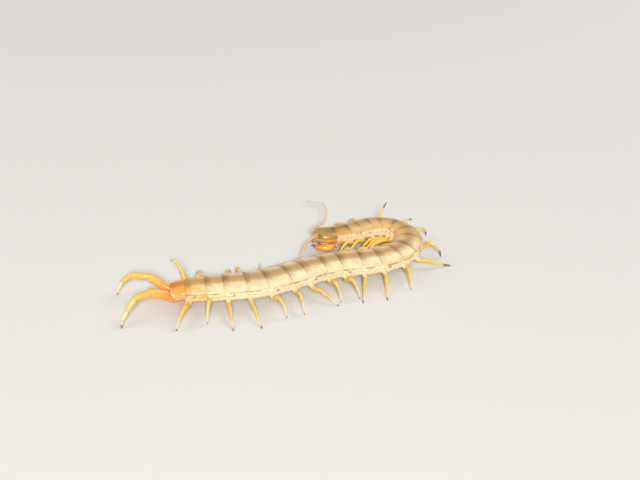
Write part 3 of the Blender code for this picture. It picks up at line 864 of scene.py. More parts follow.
def head_horn(name, light, dark, rear):
    """Glossy horn, light in front and at the sides and darker towards the back."""
    material = start_material(name, roughness=0.26, coat=0.5, bleed=0.2)
    along, across, _ = straight_place(material)
    between = tuple((one + two) / 2 for one, two in zip(light, dark))
    base = ramp(material, scaled(material, along, 0.0, HEAD_LENGTH),
                ((0.0, light), (0.45, between), (0.8, dark), (1.0, rear)))
    cheeks = scaled(material, size_of(material, across), *CHEEK_REACH)
    base = blended(material, share_ramp(material, cheeks, CHEEK_SHARES), base, light)
    paint(material, clouded(material, base, dark, 500.0, 0.45))
    bumps(material, 3500.0, distance=0.00008, strength=0.3)
    return material


head_plate = arch("head_plate", HEAD_POINTS, head_outline, HEAD_EDGE,
                  [(s, half, crest, HEAD_MIDDLE) for s, half, crest in HEAD_PLATE])
thicken(head_plate, HEAD_WALL)
mark_straight(head_plate)
dress(head_plate, head_horn("horn of the head", (0.60, 0.30, 0.07), (0.30, 0.185, 0.05),
                            (0.27, 0.14, 0.04)), CRISP_ANGLE, "head_shell")

# Head capsule
# Below the shield the head is closed by the brow between the feelers, the cheeks and
# a soft underside. It is of paler horn and set a little inside the shield's edge.
CAPSULE_POINTS = 40
CAPSULE = ((0.35, 1.1, 0.75, 0.55), (0.55, 1.55, 1.0, 0.45), (0.9, 2.1, 1.25, 0.4),
           (1.5, 2.75, 1.5, 0.35), (2.3, 3.3, 1.65, 0.3), (3.4, 3.75, 1.8, 0.25),
           (4.9, 3.98, 1.9, 0.2), (6.6, 3.9, 1.9, 0.15), (7.7, 3.6, 1.8, 0.15),
           (8.5, 3.3, 1.7, 0.15))
capsule_horn = head_horn("horn under the head", (0.74, 0.38, 0.12), (0.62, 0.28, 0.08),
                         (0.5, 0.25, 0.1))
capsule = bar("head_capsule", CAPSULE_POINTS, head_outline, CAPSULE)
soften(capsule)
mark_straight(capsule)
dress(capsule, capsule_horn, ROUND_ANGLE, "head_shell", "head")

# Eyes
# Four simple eyes sit on each side near the front corners of the head. Each is a
# black, glossy bead of clear horn, sunk by half into the shield.
EYES = ((2.30, 0.93, 0.62), (2.95, 0.95, 0.62), (2.45, 0.99, 0.15), (3.1, 1.0, 0.2))
EYE_RADIUS = 0.29
EYE_SINK = 0.985
BEAD_ANGLE = 80.0


def two_toned(name, roughness, coat, bleed, scale, dark, light):
    """A material mottled between two like colours."""
    material = start_material(name, roughness, coat, bleed)
    paint(material, ramp(material, mottle(material, scale), ((0.0, dark), (1.0, light))))
    return material


eye_black = two_toned("black of the eyes", roughness=0.08, coat=1.0, bleed=0.0, scale=900.0,
                      dark=(0.008, 0.006, 0.005), light=(0.02, 0.013, 0.009))
stations, halves, crests = zip(*HEAD_PLATE)
eyes = []
for sign in (LEFT, RIGHT):
    for s, side, up in EYES:
        side, up = head_outline(math.atan2(side, up))
        where = (s, -sign * side * float(np.interp(s, stations, halves)) * EYE_SINK,
                 HEAD_MIDDLE + up * float(np.interp(s, stations, crests)) * EYE_SINK)
        eyes.append(added(bpy.ops.mesh.primitive_uv_sphere_add, segments=20, ring_count=12,
                          radius=EYE_RADIUS, location=where))
dress(fuse(eyes, "eyes"), eye_black, BEAD_ANGLE, "head_shell")

# Palps
# Two short, blunt palps of the head's own horn lie together under the mouth. Each
# has two joints, which show as waists, and grows from the underside of the capsule.
PALP_SIDES = 14
PALP_PATH = ((2.9, 1.15, 4.1), (2.3, 1.0, 3.35), (1.3, 0.85, 3.05), (0.45, 0.6, 3.05))
PALP_STATIONS = ((0.0, 0.34), (0.25, 0.36), (0.95, 0.37), (1.05, 0.31), (1.15, 0.35),
                 (1.75, 0.36), (1.85, 0.29), (1.95, 0.33), (2.5, 0.27), (2.75, 0.12))


def round_outline(turn):
    """A circle."""
    return math.sin(turn), math.cos(turn)


def soft_curve(guides, steps=16):
    """Many points on a soft curve through a few given ones."""
    ends = [guides[0] * 2 - guides[1]] + guides + [guides[-1] * 2 - guides[-2]]
    curve = []
    for before, start, end, after in zip(ends, ends[1:], ends[2:], ends[3:]):
        for t in np.linspace(0, 1, steps, endpoint=False):
            curve.append(0.5 * (2 * start + (end - before) * t
                                + (2 * before - 5 * start + 4 * end - after) * t ** 2
                                + (3 * start - before - 3 * end + after) * t ** 3))
    curve.append(guides[-1])
    return curve


def straight_points(places, sign):
    """Points given as (s, side, height over the floor), as they lie in the straight body."""
    return [Vector((s, -sign * side, height - AXIS_HEIGHT)) for s, side, height in places]


def run_of(points):
    """Length of a way through points."""
    return sum((two - one).length for one, two in zip(points, points[1:]))


def mouth_part(name, sign, path, stations, sides, material, slot, *nodes):
    """A jointed part under the head, bent along its own way and then with the body."""
    curve = soft_curve(straight_points(path, sign))
    reach = run_of(curve) / stations[-1][0]
    part = bar(name, sides, round_outline, [(x * reach, r, r, 0.0) for x, r in stations])
    soften(part)
    mark_straight(part)
    line = guide("way", curve)
    bend(part, line)
    bpy.data.objects.remove(line)
    dress(part, material, ROUND_ANGLE, slot, *nodes)


for sign in (LEFT, RIGHT):
    mouth_part(f"palp_{SIDE_NAMES[sign]}", sign, PALP_PATH, PALP_STATIONS, PALP_SIDES,
               capsule_horn, "head_shell")

# Claws of the palps
# Each palp ends in one small, sharp claw of hard dark horn, set in its tip.
PALP_CLAW_TIP = (0.12, 0.42, 3.0)
PALP_CLAW_RADII = (0.12, 0.02)
THORN_ANGLE = 50.0


def thorn(start, tip, radius, end_radius, sides=8):
    """A small pointed spike."""
    way = tip - start
    return added(bpy.ops.mesh.primitive_cone_add, vertices=sides, radius1=radius,
                 radius2=end_radius, depth=way.length, location=start + way / 2,
                 rotation=way.to_track_quat("Z", "X").to_euler())


dark_horn = two_toned("dark horn", roughness=0.2, coat=0.6, bleed=0.0, scale=900.0,
                      dark=(0.05, 0.015, 0.01), light=(0.09, 0.03, 0.015))
palp_claws = [thorn(*straight_points((PALP_PATH[-1], PALP_CLAW_TIP), sign), *PALP_CLAW_RADII)
              for sign in (LEFT, RIGHT)]
dress(fuse(palp_claws, "palp_claws"), dark_horn, THORN_ANGLE, "head_shell")

# Poison claws
# A pair of stout curved claws closes round the head from below. Each is of hard,
# glossy horn, with a thick base, two short rings and a dark, sharp end.
CLAW_SIDES = 28
CLAW_PATH = ((6.9, 3.3, 2.15), (6.0, 3.95, 2.05), (4.9, 4.38, 1.92), (3.6, 4.4, 1.85),
             (2.3, 3.8, 1.8), (1.1, 2.55, 1.75), (0.15, 1.1, 1.72))
CLAW_STATIONS = ((0.0, 0.85), (0.25, 1.0), (0.9, 1.14), (1.8, 1.2), (2.9, 1.14), (3.7, 1.03),
                 (3.95, 1.02), (4.05, 0.93), (4.15, 0.99), (4.55, 0.97), (4.65, 0.86),
                 (4.75, 0.92), (5.15, 0.88), (5.25, 0.76), (5.4, 0.80), (6.0, 0.66),
                 (6.8, 0.48), (7.5, 0.33), (8.05, 0.18), (8.4, 0.05))
CLAW_SHADES = ((0.0, (0.66, 0.24, 0.03)), (0.30, (0.84, 0.42, 0.055)), (0.50, (0.82, 0.34, 0.035)),
               (0.66, (0.72, 0.22, 0.025)), (0.80, (0.32, 0.055, 0.012)),
               (0.9, (0.07, 0.015, 0.01)), (1.0, (0.02, 0.006, 0.005)))


def claw_horn():
    """Hard orange horn with a yellow glow in the middle and a dark tip."""
    material = start_material("horn of the poison claws", roughness=0.2, coat=0.7, bleed=0.2)
    along, _, _ = straight_place(material)
    paint(material, ramp(material, scaled(material, along, 0.0, CLAW_STATIONS[-1][0]), CLAW_SHADES))
    return material


poison_claw_horn = claw_horn()
for sign in (LEFT, RIGHT):
    mouth_part(f"poison_claw_{SIDE_NAMES[sign]}", sign, CLAW_PATH, CLAW_STATIONS, CLAW_SIDES,
               poison_claw_horn, "poison_claw_shell", f"forcipule_{SIDE_NAMES[sign]}")

# Plate that carries the poison claws
# A broad plate of orange horn lies under the head and both claws hinge on it. A seam
# runs along the middle of its front part and another across it behind.
CLAW_BASE = ((2.75, 1.25, 0.28, -1.9), (3.0, 1.6, 0.5, -1.9), (3.5, 1.95, 0.66, -1.93),
             (4.6, 2.2, 0.82, -2.0), (6.6, 2.45, 0.88, -2.02), (6.95, 3.3, 0.9, -2.02),
             (7.2, 4.1, 0.88, -2.0), (7.6, 4.35, 0.85, -1.98), (7.95, 4.3, 0.80, -1.93),
             (8.1, 4.1, 0.70, -1.9))
BASE_SEAM_DEPTH = 0.10
LONG_SEAM_WIDTH, LONG_SEAM_FADE = 0.09, (5.0, 5.6)
CROSS_SEAM, CROSS_SEAM_WIDTH, CROSS_SEAM_CURVE, CROSS_SEAM_SHARE = 7.0, 0.10, 0.0625, 0.8
UNDERSIDE = -2.0

claw_base = bar("poison_claw_base", CAPSULE_POINTS, head_outline, CLAW_BASE)
soften(claw_base, levels=2)
points = places_of(claw_base)
x, y, z = points.T
seam = np.exp(-(y / LONG_SEAM_WIDTH) ** 2) * np.interp(x, LONG_SEAM_FADE, (1, 0))
cross = (x - CROSS_SEAM + CROSS_SEAM_CURVE * y ** 2) / CROSS_SEAM_WIDTH
seam += CROSS_SEAM_SHARE * np.exp(-cross ** 2)
points[:, 2] += np.where(z < UNDERSIDE, BASE_SEAM_DEPTH, 0.0) * np.minimum(seam, 1)
move_to(claw_base, points)
mark_straight(claw_base)
dress(claw_base, head_horn("horn of the claw base", (0.80, 0.36, 0.07), (0.72, 0.28, 0.05),
                           (0.66, 0.26, 0.06)), ROUND_ANGLE, "poison_claw_shell", "forcipule_base")

# Teeth of the claw plate
# Four small dark teeth stand in a row on each side of the plate's front edge, and a
# blunt process stands on the inner side of each claw's base.
TOOTH_PLACES = (0.28, 0.52, 0.78, 1.04)
TOOTH_ROOT, TOOTH_HEIGHT = 3.0, -1.86
TOOTH_REACH = (-0.55, 0.03)    # ahead and inwards
TOOTH_RADII = (0.14, 0.03)
CLAW_PROCESS = ((4.3, 3.55, 1.95), (3.5, 2.75, 2.0))
CLAW_PROCESS_RADII, CLAW_PROCESS_SIDES = (0.34, 0.12), 12

teeth = []
for sign in (LEFT, RIGHT):
    for out in TOOTH_PLACES:
        root = Vector((TOOTH_ROOT, -sign * out, TOOTH_HEIGHT))
        ahead, inwards = TOOTH_REACH
        teeth.append(thorn(root, root + Vector((ahead, sign * inwards, 0.0)), *TOOTH_RADII))
    teeth.append(thorn(*straight_points(CLAW_PROCESS, sign), *CLAW_PROCESS_RADII,
                       CLAW_PROCESS_SIDES))
dress(fuse(teeth, "claw_base_teeth"), dark_horn, THORN_ANGLE, "poison_claw_shell")

# Feelers
# Two feelers of eighteen short articles, each a little wider at its far end. They
# are downy and tan, and stand in soft sockets at the front corners of the head.
ARTICLES, FEELER_SIDES = 18, 14
FEELER_RADII = (0.52, 0.26)
FEELER_ENDS = (0.468, 0.12)    # radius of the root and of the tip
ARTICLE_RINGS = ((0.04, 0.80), (0.20, 0.92), (0.55, 1.0), (0.84, 1.06), (0.93, 1.0), (0.985, 0.78))
HEAD_CORNERS = ((0.15, 1.5), (2.0, 3.3))
GAP = 0.3
FEELER_INSET, FEELER_OUTSET = 0.7, 0.9
SOCKET_PLACE, SOCKET_RADIUS, SOCKET_RIM = 0.55, 0.56, 0.13
FEELER_GUIDES = {
    RIGHT: ((0.9, -4.5, 5.4), (3.0, -5.8, 6.0), (4.2, -7.0, 6.9), (4.8, -9.9, 7.7),
            (4.5, -13.7, 8.2), (2.8, -17.5, 8.0), (-2.5, -20.1, 7.0)),
    LEFT: ((-1.6, 4.4, 4.3), (-2.8, 7.5, 3.0), (-3.4, 9.6, 1.9), (-5.6, 11.0, 1.0),
           (-8.8, 12.6, 0.65), (-12.0, 14.2, 0.55), (-14.4, 15.4, 0.5))}
FEELER_SHADES = ((0.0, (0.60, 0.33, 0.14)), (0.2, (0.66, 0.44, 0.26)), (0.6, (0.72, 0.53, 0.38)),
                 (1.0, (0.74, 0.58, 0.45)))
FEELER_SPOTS = (0.60, 0.40, 0.25)


def feeler_material():
    """Tan horn under a fine pale down."""
    material = start_material("downy horn of the feelers", roughness=0.5, coat=0.05, bleed=0.25)
    material.node_tree.nodes["Principled BSDF"].inputs["Sheen Weight"].default_value = 0.35
    along, _, _ = straight_place(material)
    base = ramp(material, along, FEELER_SHADES)
    paint(material, blended(material, mottle(material, 1500.0), base, FEELER_SPOTS))
    bumps(material, 6000.0, distance=0.0001, strength=0.4)
    return material


def feeler_way(sign):
    """The way of a feeler from inside the head to its tip."""
    (front, narrow), (back, wide) = HEAD_CORNERS
    height = HEAD_MIDDLE + AXIS_HEIGHT
    middle = (front + back) / 2
    root = place(middle, sign * (narrow + wide) / 2, height)
    along = place(back, sign * wide, height) - place(front, sign * narrow, height)
    up = place(middle, 0, height + 1) - place(middle, 0, height)
    facing = along.cross(up).normalized() * sign
    root += facing * GAP
    guides = [root - facing * FEELER_INSET, root, root + facing * FEELER_OUTSET]
    guides += [beside(0.0, side, back, height)
               for back, side, height in FEELER_GUIDES[sign]]
    return soft_curve(guides)


def mark_lengthwise(piece, length, body=0.0):
    """Mark a straight piece with its places taken as shares of its length."""
    points = places_of(piece)
    move_to(piece, points / (length, 1, 1))
    mark_straight(piece, body)
    move_to(piece, points)


downy = feeler_material()
for sign in (LEFT, RIGHT):
    way = feeler_way(sign)
    length = run_of(way)
    rings = [(0.0, FEELER_ENDS[0])]
    for article in range(ARTICLES):
        for share, swell in ARTICLE_RINGS:
            grown = (article + share) / ARTICLES
            radius = float(np.interp(grown, (0, 1), FEELER_RADII)) * swell
            rings.append((FEELER_INSET + grown * (length - FEELER_INSET), radius))
    rings.append((length, FEELER_ENDS[1]))
    feeler = bar(f"feeler_{SIDE_NAMES[sign]}", FEELER_SIDES, round_outline,
                 [(x, radius, radius, 0.0) for x, radius in rings])
    soften(feeler)
    socket = added(bpy.ops.mesh.primitive_torus_add, major_segments=32, minor_segments=12,
                   location=(SOCKET_PLACE, 0, 0), major_radius=SOCKET_RADIUS,
                   minor_radius=SOCKET_RIM, rotation=(0.0, math.pi / 2, 0.0))
    feeler = fuse([feeler, socket], feeler.name)
    mark_lengthwise(feeler, length)
    line = guide("feeler way", way)
    bend(feeler, line)
    bpy.data.objects.remove(line)
    finish_shell(feeler, downy, ROUND_ANGLE)
    settle(feeler, "feeler_shell", f"antenna_{SIDE_NAMES[sign]}")

# Walking legs
# Forty legs of smooth golden horn. Seven podomeres each swell a little to their far
# ends, with soft skin between them, and end in a dark hooked claw with two spurs.
LEG_LENGTH, LEG_SIDES = 11.6, 14
LEG_SIZE_AT = ((1, 0.82), (6, 0.92), (12, 1.0), (18, 1.02), (19, 1.04), (20, 1.10))
HIND_LEG_GIRTH = 1.25
FLOOR_CLEARANCE = 0.16         # under a podomere that lies flat; its claw still touches
TIP_HEIGHT = 0.03
LEG_INSET = 0.9
CLAW_POINT = 0.02
FACET = ((0.96, 0.02), (0.80, -0.52))      # top and bottom of the flank that bears the leg
ROOT_PULL, FOOT_PULL, ROOT_ARCH = 0.14, 0.12, 0.55     # ease of a leg's curve at its ends
ARCH_LIMIT, ARCH_HALVINGS = 12.0, 30
CURVE_POINTS = 41
PODOMERES = ((0.09, 0.84, 0.80), (0.24, 0.80, 0.70), (0.21, 0.66, 0.56), (0.18, 0.52, 0.42),
             (0.14, 0.38, 0.31), (0.08, 0.28, 0.24), (0.06, 0.20, 0.04))   # share and radii
PODOMERE_RINGS = ((0.015, 0.84), (0.05, 0.95), (0.16, 1.0), (0.45, 1.01), (0.74, 1.01),
                  (0.90, 1.055), (0.96, 1.05), (0.99, 0.88))
HIP_RINGS = ((-1.0, 0.9), (-0.62, 1.22), (-0.34, 1.26), (-0.12, 1.14), (-0.03, 1.0))
SPUR_POINT, SPUR_SIDES = 0.01, 6
CLAW_SPUR = ((0.02, 0.12, -0.08), (0.36, 0.22, -0.16), 0.05)       # root, tip and radius
TARSUS_SPUR = ((-0.12, 0.0, -0.24), (0.30, 0.0, -0.38), 0.07)
RIGHT_FEET = {1: (11.2, -4.0, 0.0), 2: (11.6, -2.3, 0.0), 3: (12.2, -0.5, 0.0),
              4: (10.3, 5.2, 9.0), 5: (14.2, 2.6, 2.0), 6: (12.0, -1.3, 0.0),
              7: (11.9, 2.2, 0.0), 8: (14.8, -7.6, 0.0), 9: (12.9, 4.7, 0.0),
              10: (15.8, 4.1, 0.0), 11: (16.2, 3.4, 0.0), 12: (13.8, -1.8, 0.0),
              13: (13.8, 0.2, 0.0), 14: (15.3, -4.5, 0.0), 15: (14.3, 2.2, 0.0),
              16: (13.8, -1.5, 0.0), 17: (16.8, -1.0, 0.0), 18: (16.6, 0.2, 0.0),
              19: (12.1, 1.4, 0.0), 20: (14.9, 4.2, 0.0)}      # out, back and height
LEFT_FEET = {10: (9.4, 4.2, 0.0), 11: (10.2, 4.2, 0.0),
             12: (11.6, 5.0, 0.0), 13: (10.6, 2.0, 0.0), 14: (10.8, 3.0, 0.0),
             15: (11.2, -1.4, 0.0), 16: (16.4, -3.9, 1.2), 17: (13.2, 0.8, 0.0),
             18: (14.0, -3.6, 0.0), 19: (14.2, 2.8, 0.0), 20: (12.8, 5.1, 7.0)}
LEFT_LEAN = {12: 50.0, 13: 65.0, 14: 65.0, 15: 60.0, 17: 15.0}     # of the leg's arch
POCKET_FEET = {1: (231.0, 6.2, 0.0), 2: (231.0, 7.0, 0.0), 3: (233.0, 8.4, 0.0),
               4: (234.0, 9.2, 1.4), 5: (227.5, 9.8, 2.2), 6: (223.0, 10.2, 3.4),
               7: (210.0, 9.7, 0.0), 8: (193.0, 9.3, 0.0), 9: (184.0, 7.0, 0.0)}
# The dark ends of these right legs are painted shade.
SHADE_TIPPED_LEGS = (4, 5, 6, 7, 8)  # right legs with darker tips
CLAW_FADE = ((0.945, (0.16, 0.07, 0.03)), (1.0, (0.04, 0.018, 0.012)))
GOLDEN = ((0.04, (0.87, 0.64, 0.38)), (0.12, (0.82, 0.47, 0.08)), (0.32, (0.82, 0.50, 0.045)),
          (0.62, (0.82, 0.54, 0.08)))
GOLDEN_SHIN = (0.80, 0.56, 0.22)
STRAW = ((0.04, (0.86, 0.64, 0.38)), (0.12, (0.73, 0.48, 0.13)), (0.32, (0.69, 0.475, 0.11)),
         (0.62, (0.70, 0.52, 0.18)))
STRAW_SHIN = (0.78, 0.63, 0.39)
STRAW_FROM = (0.38, 0.58)      # where along the body the legs turn duller
LEG_CLOUDS = (0.84, 0.76, 0.60)


def leg_root(number, sign):
    """Where a leg leaves the flank, and the way it faces there."""
    s = leg_station(number)
    (top_side, top_up), (low_side, low_up) = FACET

    def corner(at, side, up):
        return place(at, sign * side * half_width(at), AXIS_HEIGHT + up * rise(at))

    top, bottom = corner(s, top_side, top_up), corner(s, low_side, low_up)
    along = corner(s + 0.5, top_side, top_up) - corner(s - 0.5, top_side, top_up)
    facing = (bottom - top).cross(along).normalized() * sign
    return top.lerp(bottom, 0.5) + facing * GAP, facing


def foot_place(number, sign):
    """Tip of a walking leg."""
    if sign == LEFT and number in POCKET_FEET:
        course, reach, height = POCKET_FEET[number]
        way = Matrix.Rotation(math.radians(course), 3, "Z") @ Vector((reach, 0, 0))
        root = leg_root(number, sign)[0]
        return Vector((root.x + way.x, root.y + way.y, height))
    out, back, height = (LEFT_FEET if sign == LEFT else RIGHT_FEET)[number]
    return beside(leg_station(number), sign * out, back, height)


def leg_curve(root, facing, tip, arch_up):
    """A way from the flank to the foot, drawn out along the arch vector."""
    reach = Vector((tip.x - root.x, tip.y - root.y, 0))
    out = Vector((facing.x, facing.y, 0)).normalized() + reach.normalized()
    first = root + out * (ROOT_PULL * reach.length) + arch_up * ROOT_ARCH
    last = tip - reach * FOOT_PULL + arch_up
    curve = []
    for t in np.linspace(0, 1, CURVE_POINTS):
        curve.append(root * (1 - t) ** 3 + first * 3 * t * (1 - t) ** 2
                     + last * 3 * t ** 2 * (1 - t) + tip * t ** 3)
    return curve


def at_shares(points, shares):
    """Points of a way at given shares of its length."""
    runs = np.cumsum([0.0] + [(two - one).length for one, two in zip(points, points[1:])])
    return [Vector([float(np.interp(share * runs[-1], runs, [point[axis] for point in points]))
                    for axis in range(3)]) for share in shares]


def leg_joints(number, sign):
    """Joints of a leg, whose arch takes up the length that the reach leaves."""
    root, facing = leg_root(number, sign)
    tip = foot_place(number, sign)
    wanted = LEG_LENGTH * size_at(LEG_SIZE_AT, number)
    lean = math.radians(LEFT_LEAN.get(number, 0.0)) if sign == LEFT else 0.0
    course = spine(leg_station(number))[2]
    lift = Vector((math.cos(course) * math.sin(lean), math.sin(course) * math.sin(lean),
                   math.cos(lean)))
    low, high = 0.0, ARCH_LIMIT
    for _ in range(ARCH_HALVINGS):
        tried = (low + high) / 2
        if run_of(leg_curve(root, facing, tip, lift * tried)) < wanted:
            low = tried
        else:
            high = tried
    stops = np.cumsum([0.0] + [share for share, _, _ in PODOMERES])
    joints = at_shares(leg_curve(root, facing, tip, lift * tried), stops / stops[-1])
    joints[1] = root + facing * (PODOMERES[0][0] * wanted)
    return joints, facing, lift


def podomere_stations(podomeres, length, inset, hip_rings, point):
    """Stations of a straight leg and the places of its joints."""
    stations = [(x * inset, podomeres[0][1] * swell) for x, swell in hip_rings]
    stops, x = [-inset, 0.0], 0.0
    for share, near, far in podomeres:
        run = share * length
        for place_share, swell in PODOMERE_RINGS:
            radius = (near + (far - near) * place_share) * swell
            stations.append((x + place_share * run, radius))
        x += run
        stops.append(x)
    stations.append((length, point))
    return [(x, radius, radius, 0.0) for x, radius in stations], stops


def way_through(joints, radii, step, passes=5):
    """A way through joints with its corners eased off and kept above the floor."""
    line, marks = [joints[0]], [0]
    for start, end in zip(joints, joints[1:]):
        count = max(2, round((end - start).length / step))
        line += [start.lerp(end, (part + 1) / count) for part in range(count)]
        marks.append(len(line) - 1)
    line = np.array([tuple(point) for point in line])
    for _ in range(passes):
        line[1:-1] = (line[:-2] + 2 * line[1:-1] + line[2:]) / 4
    thickness = np.interp(range(len(line)), marks, radii)
    line[:, 2] = np.maximum(line[:, 2], thickness + FLOOR_CLEARANCE)
    runs = np.concatenate([[0.0], np.cumsum(np.linalg.norm(np.diff(line, axis=0), axis=1))])
    return [Vector(point) for point in line], runs[marks]


def bend_in_plane(piece, way, lift):
    """Bend a straight piece along a way that lies near one plane; its top faces lift."""
    reach = way[-1] - way[0]
    reach = (reach - lift * reach.dot(lift)).normalized()
    turned = Matrix((reach, lift, reach.cross(lift))).transposed()
    line = guide("way", [turned.inverted() @ point for point in way])
    piece.data.transform(Matrix.Rotation(-math.pi / 2, 4, "X"))
    bend(piece, line)
    piece.data.transform(turned.to_4x4())
    bpy.data.objects.remove(line)


def lay_leg(leg, podomeres, stops, joints, lift, girth=1.0, step=0.15):
    """Stretch a straight leg between its joints and bend it over them."""
    nears = [near * girth for _, near, _ in podomeres]
    radii = nears[:1] + nears + [TIP_HEIGHT - FLOOR_CLEARANCE]
    way, runs = way_through(joints, radii, step)
    points = places_of(leg)
    points[:, 0] = np.interp(points[:, 0], stops, runs)
    points[:, 1:] *= girth
    move_to(leg, points)
    bend_in_plane(leg, way, lift)


def spur(joint, side, root, tip, radius):
    """A small spur by a joint of the straight leg, on one side."""
    ends = [Vector((joint + x, side * out, height)) for x, out, height in (root, tip)]
    return thorn(*ends, radius, SPUR_POINT, SPUR_SIDES)


def leg_horn(name, tip_from, ends):
    """Golden horn of a leg, duller on hind legs, pinkish at its end and with a dark claw."""
    material = start_material(name, roughness=0.33, coat=0.3, bleed=0.25)
    along, _, _ = straight_place(material)
    shin = min(0.80, tip_from - 0.06)
    golden = ramp(material, along, GOLDEN + ((shin, GOLDEN_SHIN), (tip_from, ends)) + CLAW_FADE)
    straw = ramp(material, along, STRAW + ((shin, STRAW_SHIN), (tip_from, ends)) + CLAW_FADE)
    hind = scaled(material, kept_value(material, "body"), *STRAW_FROM)
    base = blended(material, hind, golden, straw)
    paint(material, clouded(material, base, LEG_CLOUDS, 700.0, 0.5, kind="MULTIPLY"))
    bumps(material, 3000.0, distance=0.0001, strength=0.3)
    return material


leg_material = leg_horn("golden horn", tip_from=0.93, ends=(0.80, 0.58, 0.40))
# The dark ends given to some right legs are painted shade.
shade_tipped_horn = leg_horn("golden horn with painted shade at the ends", tip_from=0.78, ends=(0.16, 0.09, 0.06))
leg_stations, leg_stops = podomere_stations(PODOMERES, LEG_LENGTH, LEG_INSET, HIP_RINGS,
                                            CLAW_POINT)
unit_leg = bar("unit leg", LEG_SIDES, round_outline, leg_stations)
soften(unit_leg)
spurs = [spur(leg_stops[-2], side, *CLAW_SPUR) for side in (-1, 1)]
spurs.append(spur(leg_stops[-3], 1, *TARSUS_SPUR))
unit_leg = fuse([unit_leg] + spurs, "unit leg")
for sign in (LEFT, RIGHT):
    for number in range(1, SEGMENTS):
        name = f"leg_{SIDE_NAMES[sign]}_{number:02d}"
        joints, facing, lift = leg_joints(number, sign)
        hindmost = number == SEGMENTS - 1
        leg = copy_of(unit_leg, f"walking_{name}")
        mark_lengthwise(leg, LEG_LENGTH, leg_station(number) / BODY_END)
        lay_leg(leg, PODOMERES, leg_stops, [joints[0] - facing * LEG_INSET] + joints, lift,
                HIND_LEG_GIRTH if hindmost else size_at(LEG_SIZE_AT, number))
        # These right legs take painted shade at their ends.
        dark = sign == RIGHT and number in SHADE_TIPPED_LEGS
        finish_shell(leg, shade_tipped_horn if dark else leg_material, ROUND_ANGLE)
        settle(leg, "leg_shell", name)
bpy.data.objects.remove(unit_leg)

# Breathing holes
# Small oval openings with a raised rim of dark horn, in the soft skin above the legs
# of nine segments on each side.
SPIRACLE_SEGMENTS = (3, 5, 8, 10, 12, 14, 16, 18, 20)
SPIRACLE_SIDE, SPIRACLE_HEIGHT = 0.95, 0.22
SPIRACLE_AHEAD = 1.6           # from the leg behind it
SPIRACLE_SIZE, SPIRACLE_RIM, SPIRACLE_SLANT = 0.34, 0.10, 0.35
SPIRACLE_OVAL = (1.0, 0.62, 1.0)

spiracle_horn = two_toned("dark horn of the breathing holes", roughness=0.5, coat=0.1, bleed=0.0,
                          scale=1500.0, dark=(0.10, 0.05, 0.02), light=(0.20, 0.11, 0.05))
spiracles = []
for number in SPIRACLE_SEGMENTS:
    s = leg_station(number) - SPIRACLE_AHEAD
    for sign in (LEFT, RIGHT):
        where = (s, -sign * half_width(s) * SPIRACLE_SIDE, SPIRACLE_HEIGHT * rise(s))
        spiracles.append(added(bpy.ops.mesh.primitive_torus_add, SPIRACLE_OVAL, location=where,
                               major_segments=24, minor_segments=10, major_radius=SPIRACLE_SIZE,
                               minor_radius=SPIRACLE_RIM,
                               rotation=(math.pi / 2, SPIRACLE_SLANT, 0.0)))
dress(fuse(spiracles, "breathing_holes"), spiracle_horn, BEAD_ANGLE, "plate_shell")

# Hip plates of the last segment
# Two swollen lobes of orange horn clasp the last pair of legs from the sides and
# below. Each runs out behind in a short pointed process with two spines.
HIP_STATIONS = ((-4.0, 0.75, 0.85, -0.85), (-3.4, 1.15, 1.25, -0.8), (-2.2, 1.38, 1.48, -0.75),
                (-1.0, 1.42, 1.5, -0.8), (-0.3, 1.3, 1.35, -0.9), (0.0, 1.05, 1.05, -1.0),
                (0.1, 0.7, 0.7, -1.05))
HIP_SIDE, HIP_POINTS = 2.0, 24
HIP_PROCESS = ((-0.6, 2.0, -1.75), (1.5, 1.5, -2.05))
HIP_PROCESS_RADII, PROCESS_SIDES = (0.62, 0.12), 14
SPINE_POINT = 0.01
HIP_SPINES = ((-0.1, 0.0, 0.0), (0.3, 0.12, -0.05), 0.08)      # root, tip and radius


def twin_spines(peak, root, tip, radius):
    """Two small spines that part at the end of a process."""
    x, lean, height = tip
    return [thorn(peak + Vector(root), peak + Vector((x, side * lean, height)), radius, SPINE_POINT)
            for side in (-1, 1)]


hips = []
for sign in (LEFT, RIGHT):
    hip = bar("hip plate", HIP_POINTS, round_outline,
              [(BODY_END + x, half, high, centre) for x, half, high, centre in HIP_STATIONS])
    soften(hip)
    hip.data.transform(Matrix.Translation((0, -sign * HIP_SIDE, 0)))
    root, peak = [Vector((BODY_END + x, -sign * side, height)) for x, side, height in HIP_PROCESS]
    hips += [hip, thorn(root, peak, *HIP_PROCESS_RADII, PROCESS_SIDES)]
    hips += twin_spines(peak, *HIP_SPINES)
hips = fuse(hips, "hip_plates")
mark_straight(hips, 1.0)
hip_horn = two_toned("orange horn of the hip plates", roughness=0.32, coat=0.4, bleed=0.2,
                     scale=500.0, dark=(0.80, 0.25, 0.03), light=(0.84, 0.36, 0.07))
dress(hips, hip_horn, ROUND_ANGLE, "end_shell")

# Last pair of legs
# The stout last legs trail behind the body and serve as graspers. Their first
# podomere has rows of small spines below and a spined spur at its inner corner.
END_ROOT_SIDE, END_ROOT_HEIGHT = 1.8, AXIS_HEIGHT - 0.2
END_INSET = 1.2
END_JOINTS = {
    RIGHT: ((5.6, -4.1, 6.6), (9.9, -7.0, 6.7), (12.2, -9.6, 3.9), (13.6, -11.2, 1.7),
            (13.8, -12.6, 0.5), (13.9, -13.2, 0.0)),
    LEFT: ((6.5, 4.7, 6.6), (12.0, 5.7, 6.6), (15.0, 6.4, 3.6), (16.0, 5.0, 1.9),
           (16.3, 4.4, 0.5), (16.5, 4.2, 0.0))}        # back, side and height
END_LENGTH, END_LEG_SIDES = 21.0, 20
END_CLAW_POINT = 0.03
END_PODOMERES = ((0.31, 1.52, 1.40), (0.26, 1.28, 1.08), (0.20, 1.02, 0.84),
                 (0.12, 0.76, 0.60), (0.07, 0.52, 0.42), (0.04, 0.34, 0.05))
END_HIP_RINGS = ((-1.0, 0.75), (-0.5, 0.85), (-0.1, 0.92))
